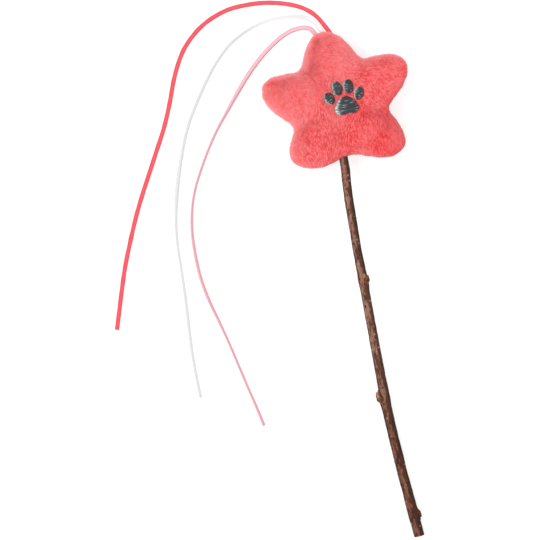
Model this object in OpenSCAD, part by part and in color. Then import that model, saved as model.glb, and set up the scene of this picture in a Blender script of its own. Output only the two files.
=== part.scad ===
// Cat teaser wand: a stuffed plush star on a natural twig, with three suede laces sewn into the star's tip.
// The wand lies face up on a level surface at z = 0, with the star towards +Y and the twig towards -Y.
// The star rests on the flattened middle of its back, and the twig rests on the rim of its sawn end.

/* [Star] */
// Reach of the longest arm from the middle of the star
star_reach = 57; // [48:0.5:75]
// Height of the front crown above the seam
front_crown_h = 18; // [14:0.5:24]
// Depth of the back crown below the seam, before the wand's weight flattens it
back_crown_h = 18.5; // [14:0.5:24]
// Depth of the flat that the weight presses into the back
belly_cut = 0.5; // [0.3:0.1:0.8]
// Thickness of the plush cloth with its pile pressed down
cloth_t = 1.5; // [1:0.1:2]
// Width of the seam allowance turned to the inside
allowance_w = 6; // [5:0.5:8]
// Thickness of one layer of the seam allowance
allowance_t = 2; // [1.8:0.1:2.4]

/* [Twig] */
// Diameter of the twig at its thin end, inside the star
twig_thin_d = 6; // [4:0.1:7]
// Diameter of the bark just above the sawn end
twig_thick_d = 7.1; // [5:0.1:9]
// Diameter of the round stretch at the sawn end
grip_d = 7.3; // [5.2:0.1:9.2]
// Length of the round stretch at the sawn end
grip_l = 11; // [8:0.5:12]
// Length of the twig outside the star
twig_free_l = 270; // [220:1:400]
// Length of the twig inside the star
twig_sunk_l = 50; // [36:1:54]
// Largest sideways bow of the free stretch
twig_bow = 4.7; // [0:0.1:10]
// Width of the largest pruned bud at its foot
bud_foot_w = 5.4; // [4.4:0.1:6]
// Height of the largest pruned bud above the bark
bud_h = 2.6; // [1.5:0.1:3.5]

/* [Laces] */
// Width of a flat suede lace
lace_w = 3; // [2:0.1:3.4]
// Thickness of a flat suede lace
lace_t = 1.4; // [1:0.1:1.6]
// Length of each lace held between the two seam allowances
lace_sunk_l = 5; // [3:0.5:6]

/* [Embroidery] */
// Width of the embroidered paw across its outer toes
motif_w = 27; // [20:0.5:32]
// Height of the raised satin stitch above the cloth
stitch_h = 1.2; // [0.6:0.1:2]
// Diameter of the stiff backing behind the stitching
backing_d = 36; // [32:0.5:42]
// Thickness of the stiff backing
backing_t = 0.5; // [0.3:0.1:1]

/* [Glue] */
// Length of the glue plug round the twig
glue_l = 14; // [8:0.5:18]
// Thickness of the glue plug's wall
glue_wall = 3.6; // [2:0.1:5]

/* [Fits] */
// Clearance between the two panels at the seam, and between the stitching and the cloth
cloth_gap = 0.3; // [0.2:0.05:0.5]
// Clearance above and below the backing
backing_gap = 0.5; // [0.4:0.05:0.8]
// Clearance between the filling and the cloth round it
filling_gap = 0.5; // [0.4:0.05:0.8]
// Clearance round the twig in the cloth, the glue and the filling
twig_gap = 0.3; // [0.2:0.05:0.5]
// Clearance round a lace in the seam
lace_gap = 0.25; // [0.2:0.05:0.4]

/* [Hidden] */
$fn = 48;

// Overrun of a cutting solid past the face that it cuts
overrun = 1;

// Star outline: the angles of the five arms and of the five notches between them, anticlockwise from +X,
// and their distances from the middle as shares of the longest arm's reach
arm_angles = [20, 91, 159, 223, 314];
arm_shares = [0.98, 0.88, 0.94, 0.93, 1];
notch_angles = [-18, 50, 129, 199.5, 274.5];
notch_shares = [0.64, 0.615, 0.595, 0.625, 0.68];
// Exponents of the crown's profile from the middle to the seam
crown_flat = 2.6;
crown_round = 0.5;
// Depth of the valleys that run in from the notches, as a share of the crown
valley_share = 0.07;
// Steps from a notch to the next arm's tip
arm_steps = 8;
// Rings of a panel's outer skin, as shares of the way from the middle to the outline
outer_shares = [0.99, 0.95, 0.86, 0.72, 0.52, 0.28];
// Rings of a panel's inner skin, which the filling's own skins repeat so that the two lie alongside
inner_shares = [0.22, 0.44, 0.64, 0.8, 0.93];
// Bearing angles, seen from the middle, at which the twig and the laces cross the outline
twig_angle = 265;
coral_angle = 85.2;
white_angle = 90.8;
pink_angle = 96.4;
// Direction in which all three laces leave the seam
lace_heading = 112;

// The ten corners of the outline in turn, each with its angle and its reach, and the first one again
corners = [
    for (i = [0:5])
        let (turn = i < 5 ? 0 : 360, k = i % 5)
        each [
            [notch_angles[k] + turn, notch_shares[k] * star_reach],
            [arm_angles[k] + turn, arm_shares[k] * star_reach]
        ]
];

// Height of the seam above the surface that the wand lies on
seam_z = back_crown_h - belly_cut;

// Reach of the outline at any bearing: a half wave of the cosine from each corner to the next
function wrapped(a) = a < corners[0][0] ? wrapped(a + 360) : a >= corners[0][0] + 360 ? wrapped(a - 360) : a;
function corner_before(a) = max([for (k = [0:9]) if (corners[k][0] <= a) k]);
function outline_reach(a) =
    let (
        w = wrapped(a),
        k = corner_before(w),
        u = (w - corners[k][0]) / (corners[k + 1][0] - corners[k][0])
    )
    corners[k][1] + (corners[k + 1][1] - corners[k][1]) * (0.5 - 0.5 * cos(180 * u));
// How much a bearing belongs to a notch: 1 in the notch and 0 on the arm's middle line
function notch_weight(a) =
    let (
        w = wrapped(a),
        k = corner_before(w),
        u = (w - corners[k][0]) / (corners[k + 1][0] - corners[k][0]),
        rise = 0.5 - 0.5 * cos(180 * u)
    )
    k % 2 == 0 ? 1 - rise : rise;
// Bearings of a ring's points, with a point on every notch and on every arm's middle line
bearings = [
    for (k = [0:9])
        for (j = [0:arm_steps - 1])
            corners[k][0] + (corners[k + 1][0] - corners[k][0]) * j / arm_steps
];

function polar(r, a) = [r * cos(a), r * sin(a)];
function outline_point(a, inset = 0) = polar(outline_reach(a) - inset, a);
function unit(v) = v / norm(v);

// Height of a crown over the seam at a share of the way out and at a bearing
function crown_share(share, a) =
    pow(max(0, 1 - pow(share, crown_flat)), crown_round)
    * (1 - valley_share * notch_weight(a) * pow(sin(180 * share), 2));
// A ring of a crown: the outline drawn in by inset, shrunk to share and lifted to the crown
function crown_ring(share, crown, inset) = [
    for (a = bearings)
        let (p = outline_point(a, inset) * share)
        [p[0], p[1], crown * crown_share(share, a)]
];
// A ring at one height along the outline drawn in by inset
function level_ring(inset, z) = [
    for (a = bearings)
        let (p = outline_point(a, inset))
        [p[0], p[1], z]
];
// Height over the seam, above any point, of a crown whose outline is drawn in by inset
function crown_height(p, crown, inset) =
    let (a = atan2(p[1], p[0]), share = norm(p) / (outline_reach(a) - inset))
    crown * crown_share(share, a);
function front_height(p) = crown_height(p, front_crown_h, 0);

// Closed skin over a stack of rings with a pole at each end, anticlockwise seen from the last pole
module skin(rings, first_pole, last_pole) {
    n = len(rings[0]);
    last = 1 + n * len(rings);
    points = concat([first_pole], [for (ring = rings) each ring], [last_pole]);
    faces = concat(
        [for (i = [0:n - 1]) [0, 1 + i, 1 + (i + 1) % n]],
        [
            for (k = [0:len(rings) - 2])
                for (i = [0:n - 1])
                    let (
                        a = 1 + n * k + i,
                        b = 1 + n * k + (i + 1) % n
                    )
                    each [[a, a + n, b + n], [a, b + n, b]]
        ],
        [for (i = [0:n - 1]) [last, last - n + (i + 1) % n, last - n + i]]
    );
    polyhedron(points, faces, convexity = 6);
}

// Where the star's middle lies, so that the wand without its laces is centred on the origin
top_reach = max([for (a = bearings) outline_reach(a) * sin(a)]);
right_reach = max([for (a = bearings) outline_reach(a) * cos(a)]);
left_reach = max([for (a = bearings) -outline_reach(a) * cos(a)]);
twig_entry = outline_point(twig_angle);
star_x = (left_reach - right_reach) / 2;
star_y = (twig_free_l - twig_entry[1] - top_reach) / 2;

// Twig centre line, measured from the thin end: straight in the star, then bowed to the left as tabled
bow_shares = [[0, 0], [0.03, 0.05], [0.1, 0.42], [0.22, 0.66], [0.4, 0.8], [0.55, 0.93],
              [0.66, 1], [0.74, 0.87], [0.82, 0.66], [0.9, 0.38], [1, 0]];
twig_l = twig_sunk_l + twig_free_l;
twig_tilt = asin((seam_z - grip_d / 2) / twig_free_l);
function twig_point(s) =
    let (out = s - twig_sunk_l)
    [
        twig_entry[0] - twig_bow * lookup(out / twig_free_l, bow_shares),
        twig_entry[1] - out * cos(twig_tilt),
        seam_z - out * sin(twig_tilt)
    ];
grip_foot = twig_point(twig_l - grip_l);
grip_end = twig_point(twig_l);
grip_way = unit(grip_end - grip_foot);
// Buds in turn from the star: the share of the free stretch, the side that it grows on and its size share
bud_stations = [0.321, 0.627, 0.94];
bud_turns = [54, -74, 80];
bud_shares = [0.92, 1, 0.86];
// Length of a bud along the twig, as a share of its width
bud_length_share = 1.45;
// Shift of a bud's top towards the sawn end, as a share of its height
bud_slant_share = 0.7;
// Depth to which a bud's foot is sunk below the bark
bud_sink = twig_thin_d / 8;
// Angle at which a bud's round side stops at its rim, and the scar's reach and depth as shares of the bud's
bud_round = 60;
scar_share = 0.34;
scar_depth_share = 0.14;
// Swelling of the bark round a bud and the length that it takes up, as shares of the bud's foot
swell_share = 0.05;
swell_reach_share = 1.4;
// Rise and fall of the bark round the twig, as a share of its radius, and the turns that it makes on the way
ripple_share = 0.03;
ripple_turns = [1.2, 2.1];
twig_sides = 14;
twig_rings = 46;
function bud_station(i) = twig_sunk_l + bud_stations[i] * twig_free_l;
function swelling(s) = swell_share * twig_thin_d
    * max([for (i = [0:len(bud_stations) - 1])
        bud_shares[i] * exp(-pow((s - bud_station(i)) / (swell_reach_share * bud_foot_w), 2))]);
// Natural bark fades out to a plain round both in the star and towards the sawn end
function fade(u) = let (c = min(1, max(0, u))) c * c * (3 - 2 * c);
function bark_weight(s) = fade((s - twig_sunk_l) / (2 * twig_thin_d)) * fade((twig_l - grip_l - s) / grip_l);
function twig_r(s) = twig_thin_d / 2 + (twig_thick_d - twig_thin_d) / 2 * s / twig_l;
// Frame across a line at a point: to the left of its way, upwards, and along it
function across(way) = unit(cross([0, 0, 1], way));
function above(way) = cross(way, across(way));
function twig_way(s) = unit(twig_point(min(s + twig_thin_d, twig_l)) - twig_point(s - twig_thin_d));
function twig_ring(s) =
    let (p = twig_point(s), way = twig_way(s), u = across(way), v = above(way))
    [
        for (i = [0:twig_sides - 1])
            let (
                a = 360 * i / twig_sides,
                turn = 360 * s / twig_l * ripple_turns,
                wave = cos(2 * a + turn[0]) + 0.5 * sin(3 * a - turn[1]),
                r = (twig_r(s) + bark_weight(s) * swelling(s)) * (1 + bark_weight(s) * ripple_share * wave)
            )
            p + r * (cos(a) * u + sin(a) * v)
    ];

// Radius of the hole that the twig has in the cloth, the glue and the filling
twig_hole_r = twig_r(twig_sunk_l) + twig_gap;

// Glue plug: from behind the seam allowance inwards along the twig
glue_start = twig_sunk_l - cloth_t - allowance_w - cloth_gap - glue_wall;
glue_r = twig_hole_r + glue_wall;
glue_room_r = glue_r + cloth_gap;

// Embroidered paw: the middle, in shares of the paw's width from the star's middle, and its five pads,
// each with the place of its middle, its half width and half height, all shares of the paw's width, and its tilt
motif_middle_share = [0.19, 0.03];
toe_shares = [
    [-0.385, 0.06, 0.115, 0.165, 22],
    [-0.145, 0.28, 0.12, 0.18, 7],
    [0.145, 0.28, 0.12, 0.18, -7],
    [0.385, 0.06, 0.115, 0.165, -22]
];
palm_share = [0, -0.22, 0.3, 0.235, 0];
// Hollow of the palm's outline at the foot and its swelling at the three corners, as shares of its size
palm_wave_share = 0.11;
pad_points = 20;
// Rings of a pad's foot and of its crown: the share of the way out and the share of the stitch height
foot_shares = [0.5, 0.95];
pad_shares = [[1, 0.35], [0.93, 0.75], [0.7, 0.95], [0.35, 1]];
motif_middle = motif_middle_share * motif_w;

// Laces: the route of each from the point where it leaves the star's outline, as x, y, the height of its
// underside as a share of the height that it starts from, and its roll from lying flat
coral_route = [
    [-3, 6, 1, 0], [-6, 11.3, 0.98, 0], [-10, 16, 0.93, 0], [-16, 20.6, 0.84, 0],
    [-24, 24.5, 0.68, 0], [-33, 27.5, 0.5, 0], [-43, 29.6, 0.3, 0], [-54, 30.4, 0.13, 0],
    [-65.3, 29.9, 0.03, 0], [-75.6, 27.2, 0, 0], [-85, 23, 0, 0], [-93.3, 17.2, 0, 0],
    [-101.4, 9.3, 0, 0], [-107.5, 0.3, 0, 0], [-113.5, -11.8, 0, 0], [-119.4, -26.8, 0, 0],
    [-126.7, -42.8, 0, 0], [-135.1, -57.8, 0, 0], [-143, -71.9, 0, 0], [-150.9, -85.9, 0, 0],
    [-158.2, -100, 0, 0], [-165.5, -116, 0, 0], [-172.3, -132, 0, 0], [-178, -148, 0, 0],
    [-183, -163, 0, 0], [-187, -175, 0, 0]
];
white_route = [
    [-2.5, 5.5, 1, 15], [-6, 9.6, 0.97, 30], [-10.5, 12.2, 0.92, 45], [-17, 14.1, 0.82, 60],
    [-26, 15.4, 0.65, 70], [-36, 15.3, 0.45, 75], [-46, 13.4, 0.25, 75], [-55, 10.1, 0.1, 75],
    [-64, 5.3, 0.02, 75], [-71.7, -1, 0, 75], [-79.5, -9, 0, 72], [-87.4, -19, 0, 70],
    [-94.5, -29, 0, 70], [-101.7, -40, 0, 70], [-108, -52, 0, 70], [-113, -64, 0, 65],
    [-117.5, -76, 0, 55], [-122, -90, 0, 50], [-126, -107, 0, 75], [-128.5, -124, 0, 82],
    [-129.5, -142, 0, 82], [-130.5, -161, 0, 75], [-132, -180, 0, 72], [-133.5, -200, 0, 75],
    [-134, -218, 0, 75], [-134, -234, 0, 75]
];
pink_route = [
    [-2.5, 4.2, 1, 0], [-6, 6, 0.97, 0], [-10, 6.4, 0.92, 5], [-15.2, 6.1, 0.84, 10],
    [-22.3, 3.8, 0.7, 20], [-29.5, 0, 0.53, 25], [-37.6, -5.4, 0.32, 25], [-45.7, -12, 0.15, 25],
    [-53.8, -19.9, 0.05, 30], [-62.3, -29.4, 0, 45], [-71.6, -40.4, 0, 65], [-80.4, -50.9, 0, 78],
    [-89, -63, 0, 80], [-97, -76, 0, 80], [-104, -89, 0, 80], [-109, -103, 0, 78],
    [-112, -118, 0, 72], [-113, -134, 0, 66], [-112.5, -151, 0, 65], [-110, -167, 0, 66],
    [-106, -183, 0, 75], [-102, -200, 0, 80], [-98.5, -217, 0, 80], [-95, -234, 0, 80],
    [-92, -248, 0, 74], [-89.5, -261, 0, 68]
];
lace_way = polar(1, lace_heading);
lace_slot_h = lace_t + 2 * lace_gap;
lace_slot_w = lace_w + 2 * lace_gap;
// Section of a lace as eight points: a flat oblong with its corners taken off by a share of its half thickness
lace_corner_share = 0.5;
lace_section =
    let (w = lace_w / 2, h = lace_t / 2, c = h * lace_corner_share)
    [[w, -h + c], [w, h - c], [w - c, h], [c - w, h], [-w, h - c], [-w, c - h], [c - w, -h], [w - c, -h]];
function rolled(p, roll) = [p[0] * cos(roll) - p[1] * sin(roll), p[0] * sin(roll) + p[1] * cos(roll)];
function half_height(roll) = max([for (p = lace_section) rolled(p, roll)[1]]);
// Centre line of a lace with its rolls: its held stretch, its exit from the outline and its free route
function lace_line(route, angle) =
    let (
        out = outline_point(angle),
        held = out - lace_sunk_l * lace_way,
        top = seam_z - lace_t / 2
    )
    concat(
        [[held[0], held[1], seam_z, 0], [out[0], out[1], seam_z, 0]],
        [for (p = route) [out[0] + p[0], out[1] + p[1], top * p[2] + half_height(p[3]), p[3]]]
    );
function place(q) = [q[0], q[1], q[2]];
function lace_ring(line, k) =
    let (
        before = place(line[max(k - 1, 0)]),
        here = place(line[k]),
        after = place(line[min(k + 1, len(line) - 1)]),
        way = unit(unit(after - here + (k == len(line) - 1 ? here - before : [0, 0, 0]))
            + unit(here - before + (k == 0 ? after - here : [0, 0, 0]))),
        u = across(way),
        v = above(way)
    )
    [
        for (p = lace_section)
            let (q = rolled(p, line[k][3]))
            here + q[0] * u + q[1] * v
    ];

coral = [0.97, 0.38, 0.4];
bark = [0.42, 0.28, 0.22];

// Places a piece of the star and what goes with it in the wand's own frame
module on_wand() {
    translate([star_x, star_y, 0])
        children();
}

// Draws a child that stands on +Z along the twig's axis in the star, from a station inwards of the seam
module along_sunk_twig(s) {
    translate(twig_point(s))
        rotate([90 + twig_tilt, 0, 0])
            children();
}

// Room for the twig through the cloth and the filling
module twig_hole(from, to) {
    along_sunk_twig(from)
        cylinder(h = to - from, r = twig_hole_r);
}

// Room for the three laces between the seam allowances
module lace_slots() {
    for (angle = [coral_angle, white_angle, pink_angle])
        translate([outline_point(angle)[0], outline_point(angle)[1], seam_z])
            rotate([0, 0, lace_heading])
                translate([-lace_sunk_l - lace_gap, -lace_slot_w / 2, -lace_slot_h / 2])
                    cube([lace_sunk_l + lace_gap + lace_slot_w, lace_slot_w, lace_slot_h]);
}

// One cloth panel, crown upwards from the seam: its inner skin, the seam allowance and its outer skin
module panel(crown) {
    inside = crown - cloth_t;
    lip = cloth_gap / 2;
    skin(
        concat(
            [for (s = inner_shares) crown_ring(s, inside, cloth_t)],
            [level_ring(cloth_t, allowance_t + lip)],
            [level_ring(cloth_t + allowance_w, allowance_t + lip)],
            [level_ring(cloth_t + allowance_w, lip)],
            [level_ring(0, lip)],
            [for (s = outer_shares) crown_ring(s, crown, 0)]
        ),
        [0, 0, inside],
        [0, 0, crown]
    );
}

// Front half of the star's plush cover
module star_front_panel() {
    color(coral)
        on_wand()
            difference() {
                translate([0, 0, seam_z])
                    panel(front_crown_h);
                twig_hole(0, twig_sunk_l + overrun + twig_thick_d);
                lace_slots();
            }
}

// Back half of the star's plush cover, pressed flat where the star rests
module star_back_panel() {
    color(coral)
        on_wand()
            difference() {
                translate([0, 0, seam_z])
                    mirror([0, 0, 1])
                        panel(back_crown_h);
                twig_hole(0, twig_sunk_l + overrun + twig_thick_d);
                lace_slots();
                translate([-star_reach, -star_reach, -belly_cut - overrun])
                    cube([2 * star_reach, 2 * star_reach, belly_cut + overrun]);
            }
}

// Loose fibre filling, one mass with a groove for the seam allowances and a channel for the twig
module star_filling() {
    side = cloth_t + filling_gap;
    groove = side + allowance_w;
    half_groove = allowance_t + cloth_gap / 2 + filling_gap;
    front = front_crown_h - cloth_t - backing_t - 2 * backing_gap;
    back = back_crown_h - cloth_t - filling_gap;
    color([0.96, 0.96, 0.94])
        on_wand()
            difference() {
                translate([0, 0, seam_z])
                    skin(
                        concat(
                            [for (s = inner_shares)
                                [for (p = crown_ring(s, back, side)) [p[0], p[1], min(-p[2], -half_groove)]]],
                            [level_ring(groove, -half_groove)],
                            [level_ring(groove, half_groove)],
                            [for (k = [len(inner_shares) - 1:-1:0])
                                [for (p = crown_ring(inner_shares[k], front, side))
                                    [p[0], p[1], max(p[2], half_groove)]]]
                        ),
                        [0, 0, -back],
                        [0, 0, front]
                    );
                twig_hole(-twig_gap, twig_sunk_l);
                along_sunk_twig(glue_start - glue_l - cloth_gap)
                    cylinder(h = twig_sunk_l - glue_start + glue_l + cloth_gap, r = glue_room_r);
            }
}

// Hot-melt glue that holds the twig in the filling, a barrel with rounded ends
module glue_plug() {
    round_r = glue_wall / 2;
    color([0.93, 0.9, 0.8])
        on_wand()
            along_sunk_twig(glue_start - glue_l)
                rotate_extrude()
                    polygon(concat(
                        [[twig_hole_r, 0]],
                        [for (a = [-90:15:0]) [glue_r - round_r + round_r * cos(a), round_r + round_r * sin(a)]],
                        [for (a = [0:15:90])
                            [glue_r - round_r + round_r * cos(a), glue_l - round_r + round_r * sin(a)]],
                        [[twig_hole_r, glue_l]]
                    ));
}

// Stiff backing disc behind the stitching, curved like the crown above it
module embroidery_backing() {
    rings = 3;
    n = 32;
    top = front_crown_h - cloth_t - backing_gap;
    function disc_point(p, depth) = [p[0], p[1], crown_height(p, top, cloth_t) - depth];
    function disc_ring(share, depth) = [
        for (i = [0:n - 1])
            disc_point(motif_middle + polar(share * backing_d / 2, 360 * i / n), depth)
    ];
    color([0.9, 0.9, 0.9])
        on_wand()
            translate([0, 0, seam_z])
                skin(
                    concat(
                        [for (k = [1:rings]) disc_ring(k / rings, backing_t)],
                        [for (k = [rings:-1:1]) disc_ring(k / rings, 0)]
                    ),
                    disc_point(motif_middle, backing_t),
                    disc_point(motif_middle, 0)
                );
}

// One pad of the paw, raised over the crown: an oval whose outline may swell at three corners
module pad(shares, wave) {
    middle = motif_middle + motif_w * [shares[0], shares[1]];
    function pad_point(share, a) =
        let (
            r = 1 + wave * cos(3 * (a - 90)) - wave * pow(max(0, -sin(a)), 6),
            p = motif_w * share * r * [shares[2] * cos(a), shares[3] * sin(a)]
        )
        middle + rolled(p, shares[4]);
    function pad_ring(share, lift) = [
        for (i = [0:pad_points - 1])
            let (p = pad_point(share, 360 * i / pad_points))
            [p[0], p[1], front_height(p) + cloth_gap + lift * stitch_h]
    ];
    skin(
        concat(
            [for (s = foot_shares) pad_ring(s, 0)],
            [for (s = pad_shares) pad_ring(s[0], s[1])]
        ),
        [middle[0], middle[1], front_height(middle) + cloth_gap],
        [middle[0], middle[1], front_height(middle) + cloth_gap + stitch_h]
    );
}

// Paw in raised satin stitch on the crown
module embroidered_motif() {
    color([0.29, 0.31, 0.34])
        on_wand()
            translate([0, 0, seam_z]) {
                pad(palm_share, palm_wave_share);
                for (toe = toe_shares)
                    pad(toe, 0);
            }
}

// A bud pruned back to a low rounded stub on +Z, long in Y and slanted to -Y, with a shallow scar in its top
module bud(share) {
    foot_r = share * bud_foot_w / 2;
    h = share * bud_h;
    scar_z = h * (1 - scar_depth_share);
    multmatrix([
        [1, 0, 0, 0],
        [0, bud_length_share, -bud_slant_share, 0],
        [0, 0, 1, 0]
    ])
        rotate_extrude()
            polygon(concat(
                [[0, -bud_sink], [foot_r, -bud_sink]],
                [for (a = [0:10:bud_round]) [foot_r * cos(a), h * sin(a) / sin(bud_round)]],
                [[foot_r * scar_share, scar_z], [0, scar_z]]
            ));
}

// Natural twig with its bark, three pruned buds and a round sawn end
module twig_stick() {
    swept_l = twig_l - grip_l + overrun;
    stations = [for (k = [0:twig_rings - 1]) swept_l * k / (twig_rings - 1)];
    color(bark)
        on_wand() {
            skin([for (s = stations) twig_ring(s)], twig_point(0), twig_point(swept_l));
            translate(grip_foot)
                rotate([0, acos(grip_way[2]), atan2(grip_way[1], grip_way[0])])
                    cylinder(h = norm(grip_end - grip_foot), r = grip_d / 2);
            for (i = [0:len(bud_stations) - 1]) {
                s = bud_station(i);
                translate(twig_point(s))
                    rotate([90, 0, 0])
                        rotate([0, 0, -bud_turns[i]])
                            translate([0, twig_r(s) - bud_sink, 0])
                                rotate([-90, 0, 0])
                                    bud(bud_shares[i]);
            }
        }
}

module lace(route, angle) {
    line = lace_line(route, angle);
    last = len(line) - 1;
    on_wand()
        skin([for (k = [0:last]) lace_ring(line, k)], place(line[0]), place(line[last]));
}

// Coral lace, sewn in on the right
module lace_coral() {
    color([0.96, 0.33, 0.35])
        lace(coral_route, coral_angle);
}

// White lace, sewn in between the other two
module lace_white() {
    color([0.93, 0.93, 0.94])
        lace(white_route, white_angle);
}

// Pink lace, sewn in on the left
module lace_pink() {
    color([0.98, 0.8, 0.84])
        lace(pink_route, pink_angle);
}

twig_stick();
star_front_panel();
star_back_panel();
star_filling();
glue_plug();
embroidery_backing();
embroidered_motif();
lace_coral();
lace_white();
lace_pink();
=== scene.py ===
"""Looks of a cat teaser wand: a stuffed plush star on a natural twig, with three flat suede laces.

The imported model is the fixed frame, and each new piece lies where its node lies. Lengths are in metres and
angles in degrees, unless a name says otherwise. The wand lies face up on z = 0, with the star towards +Y.
"""

import logging
import math
from dataclasses import dataclass, field
from enum import Enum, IntEnum

import bpy
import numpy as np
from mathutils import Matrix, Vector


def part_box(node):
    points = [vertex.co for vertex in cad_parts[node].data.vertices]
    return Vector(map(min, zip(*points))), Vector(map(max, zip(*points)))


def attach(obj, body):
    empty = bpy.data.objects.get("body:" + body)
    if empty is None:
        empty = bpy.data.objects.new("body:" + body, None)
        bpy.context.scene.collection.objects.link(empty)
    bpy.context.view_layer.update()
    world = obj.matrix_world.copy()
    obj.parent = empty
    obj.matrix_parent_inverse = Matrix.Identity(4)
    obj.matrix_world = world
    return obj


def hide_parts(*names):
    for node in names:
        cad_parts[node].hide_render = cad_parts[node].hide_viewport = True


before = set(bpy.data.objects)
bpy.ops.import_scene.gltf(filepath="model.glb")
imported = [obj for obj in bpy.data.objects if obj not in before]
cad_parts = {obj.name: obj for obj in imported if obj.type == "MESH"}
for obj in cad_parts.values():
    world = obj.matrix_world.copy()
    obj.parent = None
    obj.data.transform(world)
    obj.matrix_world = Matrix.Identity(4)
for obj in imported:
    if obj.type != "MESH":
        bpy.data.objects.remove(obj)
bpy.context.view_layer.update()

LOG = logging.getLogger("teaser_wand")
BODY = "root"
BAKE_MAP = "OFBake"
FULL_TURN = 360.0
UP = np.array([0.0, 0.0, 1.0])
# Direction on the table towards the lamp. Painted light and painted shade on the plush are laid along it.
LIT_SIDE = (-0.724, 0.69, 0.0)
WHITE = (1.0, 1.0, 1.0)
LEAST = 1e-12

Array = np.ndarray
Socket = bpy.types.NodeSocket
Material = bpy.types.Material
Mesh = bpy.types.Mesh
Piece = bpy.types.Object
Span = tuple[float, float]
Colour = tuple[float, float, float]
Place = tuple[float, float, float]
Inputs = dict[str | int, object]
RoutePoint = tuple[float, float, float, float]


class Slot(Enum):
    """Names of material slots of the record."""

    BARK = "bark"
    PLUSH = "plush"
    STUFFING = "stuffing"
    STITCHING = "stitching"
    SUEDE_CORAL = "suede_coral"
    SUEDE_WHITE = "suede_white"
    SUEDE_PINK = "suede_pink"


class Seed(IntEnum):
    """Seeds of the random draws."""

    PILE = 11
    PUCKERS = 21
    LACE = 31
    RIDGES = 41
    KNOTS = 42
    SLOW_SWAY = 51
    QUICK_SWAY = 52
    TUFTS = 55
    BUDS = 60
    LUMPS = 71
    THREADS = 80


def unit(vectors: Array) -> Array:
    """Returns vectors scaled to length 1 along their last axis."""
    return vectors / np.maximum(np.linalg.norm(vectors, axis=-1, keepdims=True), LEAST)


def smooth_step(values: Array, low: float, high: float) -> Array:
    """Rises from 0 where values are low to 1 where they are high, along the cubic 3t^2 - 2t^3."""
    t = np.clip((values - low) / (high - low), 0.0, 1.0)
    return t * t * (3.0 - 2.0 * t)


def bell(distance: Array, width: Array | float) -> Array:
    """Returns the bell curve exp(-(distance / width)^2)."""
    return np.exp(-((distance / width) ** 2))


def headings(bearings: Array | float) -> Array:
    """Returns the unit vectors, x and y, that point at bearings from +x."""
    angles = np.radians(bearings)
    return np.stack([np.cos(angles), np.sin(angles)], -1)


def circle(count: int) -> Array:
    """Returns count unit vectors, x and y, evenly round the circle from +x."""
    return headings(np.arange(count) / count * FULL_TURN)


def turned(places: Array, degrees: Array | float) -> Array:
    """Returns places, x and y, turned anticlockwise about 0."""
    return places[..., :1] * headings(degrees) + places[..., 1:2] * headings(degrees + 90.0)


def raised(flat: Array, heights: Array | float) -> Array:
    """Returns places, x and y, with heights as their z."""
    return np.concatenate([flat, np.broadcast_to(heights, flat.shape[:-1])[..., None]], -1)


def wave_noise(places: Array, size: float, seed: int, waves: int = 28) -> Array:
    """Smooth noise of mean 0 and spread 1, a sum of cosine waves of random heading and phase.

    Args:
        places: points, with their coordinates along the last axis.
        size: middle wavelength, in the unit of the places.
        seed: seed of the headings and phases.
        waves: number of waves in the sum.

    Returns:
        One value for each point.
    """
    draw = np.random.default_rng(seed)
    ways = unit(draw.normal(size=(waves, places.shape[-1])))
    pace = 2.0 * math.pi / (size * draw.uniform(0.65, 1.6, waves))
    phases = draw.uniform(0.0, 2.0 * math.pi, waves)
    return np.cos(places @ (ways * pace[:, None]).T + phases).sum(-1) * math.sqrt(2.0 / waves)


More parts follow.
